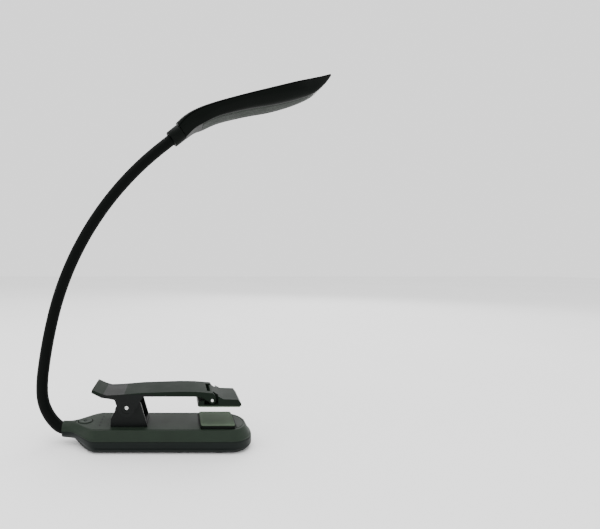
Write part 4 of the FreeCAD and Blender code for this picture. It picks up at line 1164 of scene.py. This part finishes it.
@dataclass
class LightHead:
    """The slim light head: housing, lid, diffuser and collar.

    Attributes:
        length: Head length along X.
        half_width: Greatest half-width.
        lens_margin: Rim of keel left beside the diffuser.
        lens_gap: Gap between the diffuser and its seat.
        recess: Depth of the diffuser's seat.
        lens_from: Section where the diffuser starts.
        lens_to: Section where it ends.
    """

    neck: Neck
    length: float = 86.0
    half_width: float = 11.0
    lens_margin: float = 0.45
    lens_gap: float = 0.06
    recess: float = 0.7
    lens_from: float = 2.0
    lens_to: float = 7.0
    shares: tuple[tuple[float, ...], ...] = (
        (0.051, 6.2, 0.095, 1.0, 0.41, 0.18, 3.2),
        (0.099, 10.3, 0.147, 4.8, 0.56, 0.4, 2.6),
        (0.169, 13.6, 0.198, 6.9, 0.71, 0.54, 2.2),
        (0.279, 16.5, 0.302, 10.9, 0.86, 0.55, 2.0),
        (0.453, 20.2, 0.47, 14.4, 0.97, 0.52, 1.9),
        (0.616, 23.5, 0.631, 16.8, 1.0, 0.48, 1.9),
        (0.756, 27.0, 0.774, 20.0, 0.87, 0.38, 1.6),
        (0.866, 30.3, 0.884, 23.9, 0.56, 0.26, 1.2),
        (0.948, 33.0, 0.957, 29.3, 0.29, 0.15, 0.8),
        (1.0, 35.2, 1.002, 34.4, 0.07, 0.045, 0.25),
    )

    def __post_init__(self) -> None:
        """Places the head on the neck's end."""
        self.root, self.along = self.neck.at(self.neck.length - self.neck.grip)
        wide = self.half_width
        self.sections = [
            Section((rx * self.length, rz), (kx * self.length, kz), rw * wide, kw * wide, crown)
            for rx, rz, kx, kz, rw, kw, crown in self.shares
        ]

    def section(self, at: float) -> Section:
        """A section between the given ones, on smooth curves through them."""
        n = min(int(at), len(self.sections) - 2)
        t = at - n
        table = [s.values() for s in self.sections]
        p0, p1 = table[max(n - 1, 0)], table[n]
        p2, p3 = table[n + 1], table[min(n + 2, len(table) - 1)]
        v = []
        for a, b, c, d in zip(p0, p1, p2, p3):
            square, cube = 2 * a - 5 * b + 4 * c - d, 3 * b - a - 3 * c + d
            v.append(0.5 * (2 * b + (c - a) * t + square * t * t + cube * t ** 3))
        return Section((v[0], v[1]), (v[2], v[3]), v[4], v[5], max(v[6], 0.05))

    def ring(self, at: float, half: Outline) -> list[Vector]:
        """A closed ring at a section from its right half, given as (half-width, height over the keel)."""
        s = self.section(at)
        keel = self.root + Vector((s.keel[0], 0, s.keel[1]))
        rim = self.root + Vector((s.rim[0], 0, s.rim[1]))
        up = (rim - keel).normalized()
        right = [keel + up * h + Vector((0, -w, 0)) for w, h in half]
        left = [keel + up * h + Vector((0, w, 0)) for w, h in reversed(half)]
        return right + left

    def lens_half(self, s: Section) -> float:
        """Half-width of the diffuser's seat at a section."""
        return max(s.keel_half - self.lens_margin, s.keel_half * 0.6)

    def tall(self, s: Section) -> float:
        """Distance from a section's keel to its rim."""
        return math.hypot(s.rim[0] - s.keel[0], s.rim[1] - s.keel[1])

    def steps(self, first: float, last: float, extra: Sequence[float] = ()) -> list[float]:
        """Places along the head, close together, with the extra ones put in."""
        count = int((last - first) * 9)
        places = {round(first + (last - first) * n / count, 5) for n in range(count + 1)}
        return sorted(places | set(extra))

    def build(self) -> None:
        """Builds and places every piece of the head."""
        self.housing()
        self.lid()
        self.diffuser()
        self.collar()

    def housing(self) -> None:
        """The hull: flat keel with a seat for the diffuser, and full round sides up to the rim."""
        rings = []
        brink = 0.012
        extra = [self.lens_from - brink, self.lens_from, self.lens_to, self.lens_to + brink]
        last = len(self.sections) - 1.0
        for at in self.steps(0.0, last, extra):
            s = self.section(at)
            tall = self.tall(s)
            inside = self.lens_from - 1e-6 <= at <= self.lens_to + 1e-6
            deep = self.recess if inside else 0.0
            lens = self.lens_half(s)
            half: Outline = [(0.0, deep), (lens * 0.98, deep), (lens, deep * 0.9), (lens + 0.02, 0.0)]
            for k in range(0, 13):
                t = math.pi / 2 * k / 12
                half.append((
                    s.keel_half + (s.rim_half - s.keel_half) * math.sin(t),
                    (tall - 0.3) * (1 - math.cos(t)),
                ))
            half.append((s.rim_half, tall - 0.2))
            half.append((s.rim_half - min(0.3, s.rim_half * 0.3), tall - 0.06))
            half.append((s.rim_half * 0.5, tall - 0.06))
            half.append((0.0, tall - 0.06))
            rings.append(self.ring(at, half))
        piece = loft("head_hull", rings)
        soften(piece, 38.0)
        finish_piece(piece, "head", Finish.HEAD, ["head_housing"])

    def lid(self) -> None:
        """The crowned lid over the rim."""
        rings = []
        for at in self.steps(0.0, len(self.sections) - 1.0):
            s = self.section(at)
            tall = self.tall(s)
            lip = s.rim_half - min(0.3, s.rim_half * 0.3)
            half: Outline = [(0.0, tall), (s.rim_half * 0.5, tall), (lip, tall)]
            half.append((s.rim_half - 0.02, tall + 0.1))
            for k in range(0, 11):
                t = math.pi / 2 * k / 10
                half.append((s.rim_half * math.cos(t), tall + 0.22 + (s.crown - 0.22) * math.sin(t)))
            rings.append(self.ring(at, half))
        piece = loft("head_top", rings)
        soften(piece, 38.0)
        finish_piece(piece, "head", Finish.HEAD, ["head_lid"])

    def diffuser(self) -> None:
        """The frosted strip in the keel."""
        rings = []
        inset = 0.012
        for at in self.steps(self.lens_from + inset, self.lens_to - inset):
            s = self.section(at)
            lens = self.lens_half(s) - self.lens_gap
            half: Outline = [(0.0, 0.0), (lens * 0.5, 0.0), (lens - 0.15, 0.0), (lens - 0.04, 0.05)]
            half += [(lens, 0.16), (lens, self.recess - 0.05), (0.0, self.recess - 0.05)]
            rings.append(self.ring(at, half))
        piece = loft("diffuser_strip", rings)
        soften(piece, 38.0)
        finish_piece(piece, "head", Finish.DIFFUSER, ["light_diffuser"])

    def collar(self) -> None:
        """The turned collar that grips the neck."""
        r, reach = 4.55, 7.0
        profile = [(0.5, 3.0), (0.1, 3.16), (0.0, 3.4), (0.0, r - 0.5), (0.16, r - 0.16), (0.5, r)]
        profile += [(reach - 0.9, r), (reach - 0.2, r - 0.12), (reach, r - 0.4), (reach, 0.3)]
        piece = lathe("head_collar_ring", [(0.6, 0.3)] + profile, self.root, self.along, 72)
        soften(piece, 30.0)
        finish_piece(piece, "head", Finish.COLLAR, ["head_collar"])


# ---------------------------------------------------------------- pieces kept from the frame

KEPT: dict[str, Finish] = {
    "case_screws": Finish.STEEL,
    "bracket_screws": Finish.STEEL,
    "charge_socket": Finish.STEEL,
    "button_switch": Finish.STEEL,
    "circuit_board": Finish.BOARD,
    "battery_cell": Finish.CELL,
    "battery_leads": Finish.LEAD,
    "indicator_leds": Finish.CHIP,
    "indicator_windows": Finish.WINDOW,
    "neck_ferrule": Finish.BRASS,
    "light_strip_board": Finish.STRIP,
    "light_strip_chips": Finish.CHIP,
}


def dress_kept() -> None:
    """Gives the frame's own visible nodes their finishes."""
    for name, finish in KEPT.items():
        node = frame["nodes"][name]
        for place in node.material_slots:
            place.material = finish.material()
        if not node.material_slots:
            node.data.materials.append(finish.material())
        LOG.info("%s keeps its shape", name)


# ---------------------------------------------------------------- studio

@dataclass
class Studio:
    """Floor, soft lights, surroundings and camera.

    Attributes:
        eye: Camera place in millimetres.
        lens: Focal length on a 36 mm sensor.
        shift: Sideways shift that frames the lamp.
    """

    eye: Point = (0.0, -216.0, 96.0)
    lens: float = 24.0
    shift: float = 0.208

    def build(self) -> None:
        """Builds the studio."""
        self.floor()
        self.surroundings()
        self.light("top_softbox", (-0.1, -0.1, 1.0), 0.9, 8.0)
        self.light("left_strip", (-0.8, -0.35, 0.5), 0.4, 1.2)
        self.light("back_rim", (0.4, 0.8, 0.55), 0.5, 3.0)
        self.camera()

    def floor(self) -> None:
        """A pale floor."""
        size = 3000.0
        made = to_mesh(
            "studio_floor",
            [(-size, -size, -0.02), (size, -size, -0.02), (size, size, -0.02), (-size, size, -0.02)],
            [(0, 1, 2, 3)],
        )
        sheet = NodeSheet("studio_paper")
        slow = sheet.noise(3.0, 2.0, 0.5)
        sheet.colour(sheet.mix(sheet.ramp(slow, 0.0, 1.0), (0.9, 0.9, 0.9, 1.0), (0.93, 0.93, 0.93, 1.0)))
        sheet.value("Roughness", 0.9)
        made.data.materials.append(sheet.material)

    def surroundings(self) -> None:
        """An even white surround."""
        world = bpy.data.worlds.new("studio_white")
        world.use_nodes = True
        world.node_tree.nodes["Background"].inputs["Color"].default_value = (1.0, 1.0, 1.0, 1.0)
        world.node_tree.nodes["Background"].inputs["Strength"].default_value = 1.5
        bpy.context.scene.world = world

    def light(self, name: str, place: Point, size: float, power: float) -> None:
        """A square area light aimed at the middle of the lamp."""
        data = bpy.data.lights.new(name, "AREA")
        data.size = size
        data.energy = power
        made = bpy.data.objects.new(name, data)
        made.location = place
        made.rotation_euler = (Vector((0, 0, 0.09)) - Vector(place)).to_track_quat("-Z", "Y").to_euler()
        bpy.context.scene.collection.objects.link(made)

    def camera(self) -> None:
        """The level camera close in front of the lamp."""
        data = bpy.data.cameras.new("camera")
        data.lens = self.lens
        data.sensor_width = 36.0
        data.shift_x = self.shift
        data.clip_start = 0.005
        made = bpy.data.objects.new("camera", data)
        made.location = Vector(self.eye) * MM
        made.rotation_euler = (math.pi / 2, 0.0, 0.0)
        bpy.context.scene.collection.objects.link(made)
        bpy.context.scene.camera = made


def main() -> None:
    """Builds the studio and the lamp, sub-assembly by sub-assembly."""
    logging.basicConfig(level=logging.INFO, format="%(message)s")
    Studio().build()
    BaseCasing().build()
    Clip().build()
    neck = Neck()
    neck.build()
    LightHead(neck).build()
    dress_kept()
    bpy.context.view_layer.update()


if __name__ == "__main__":
    main()
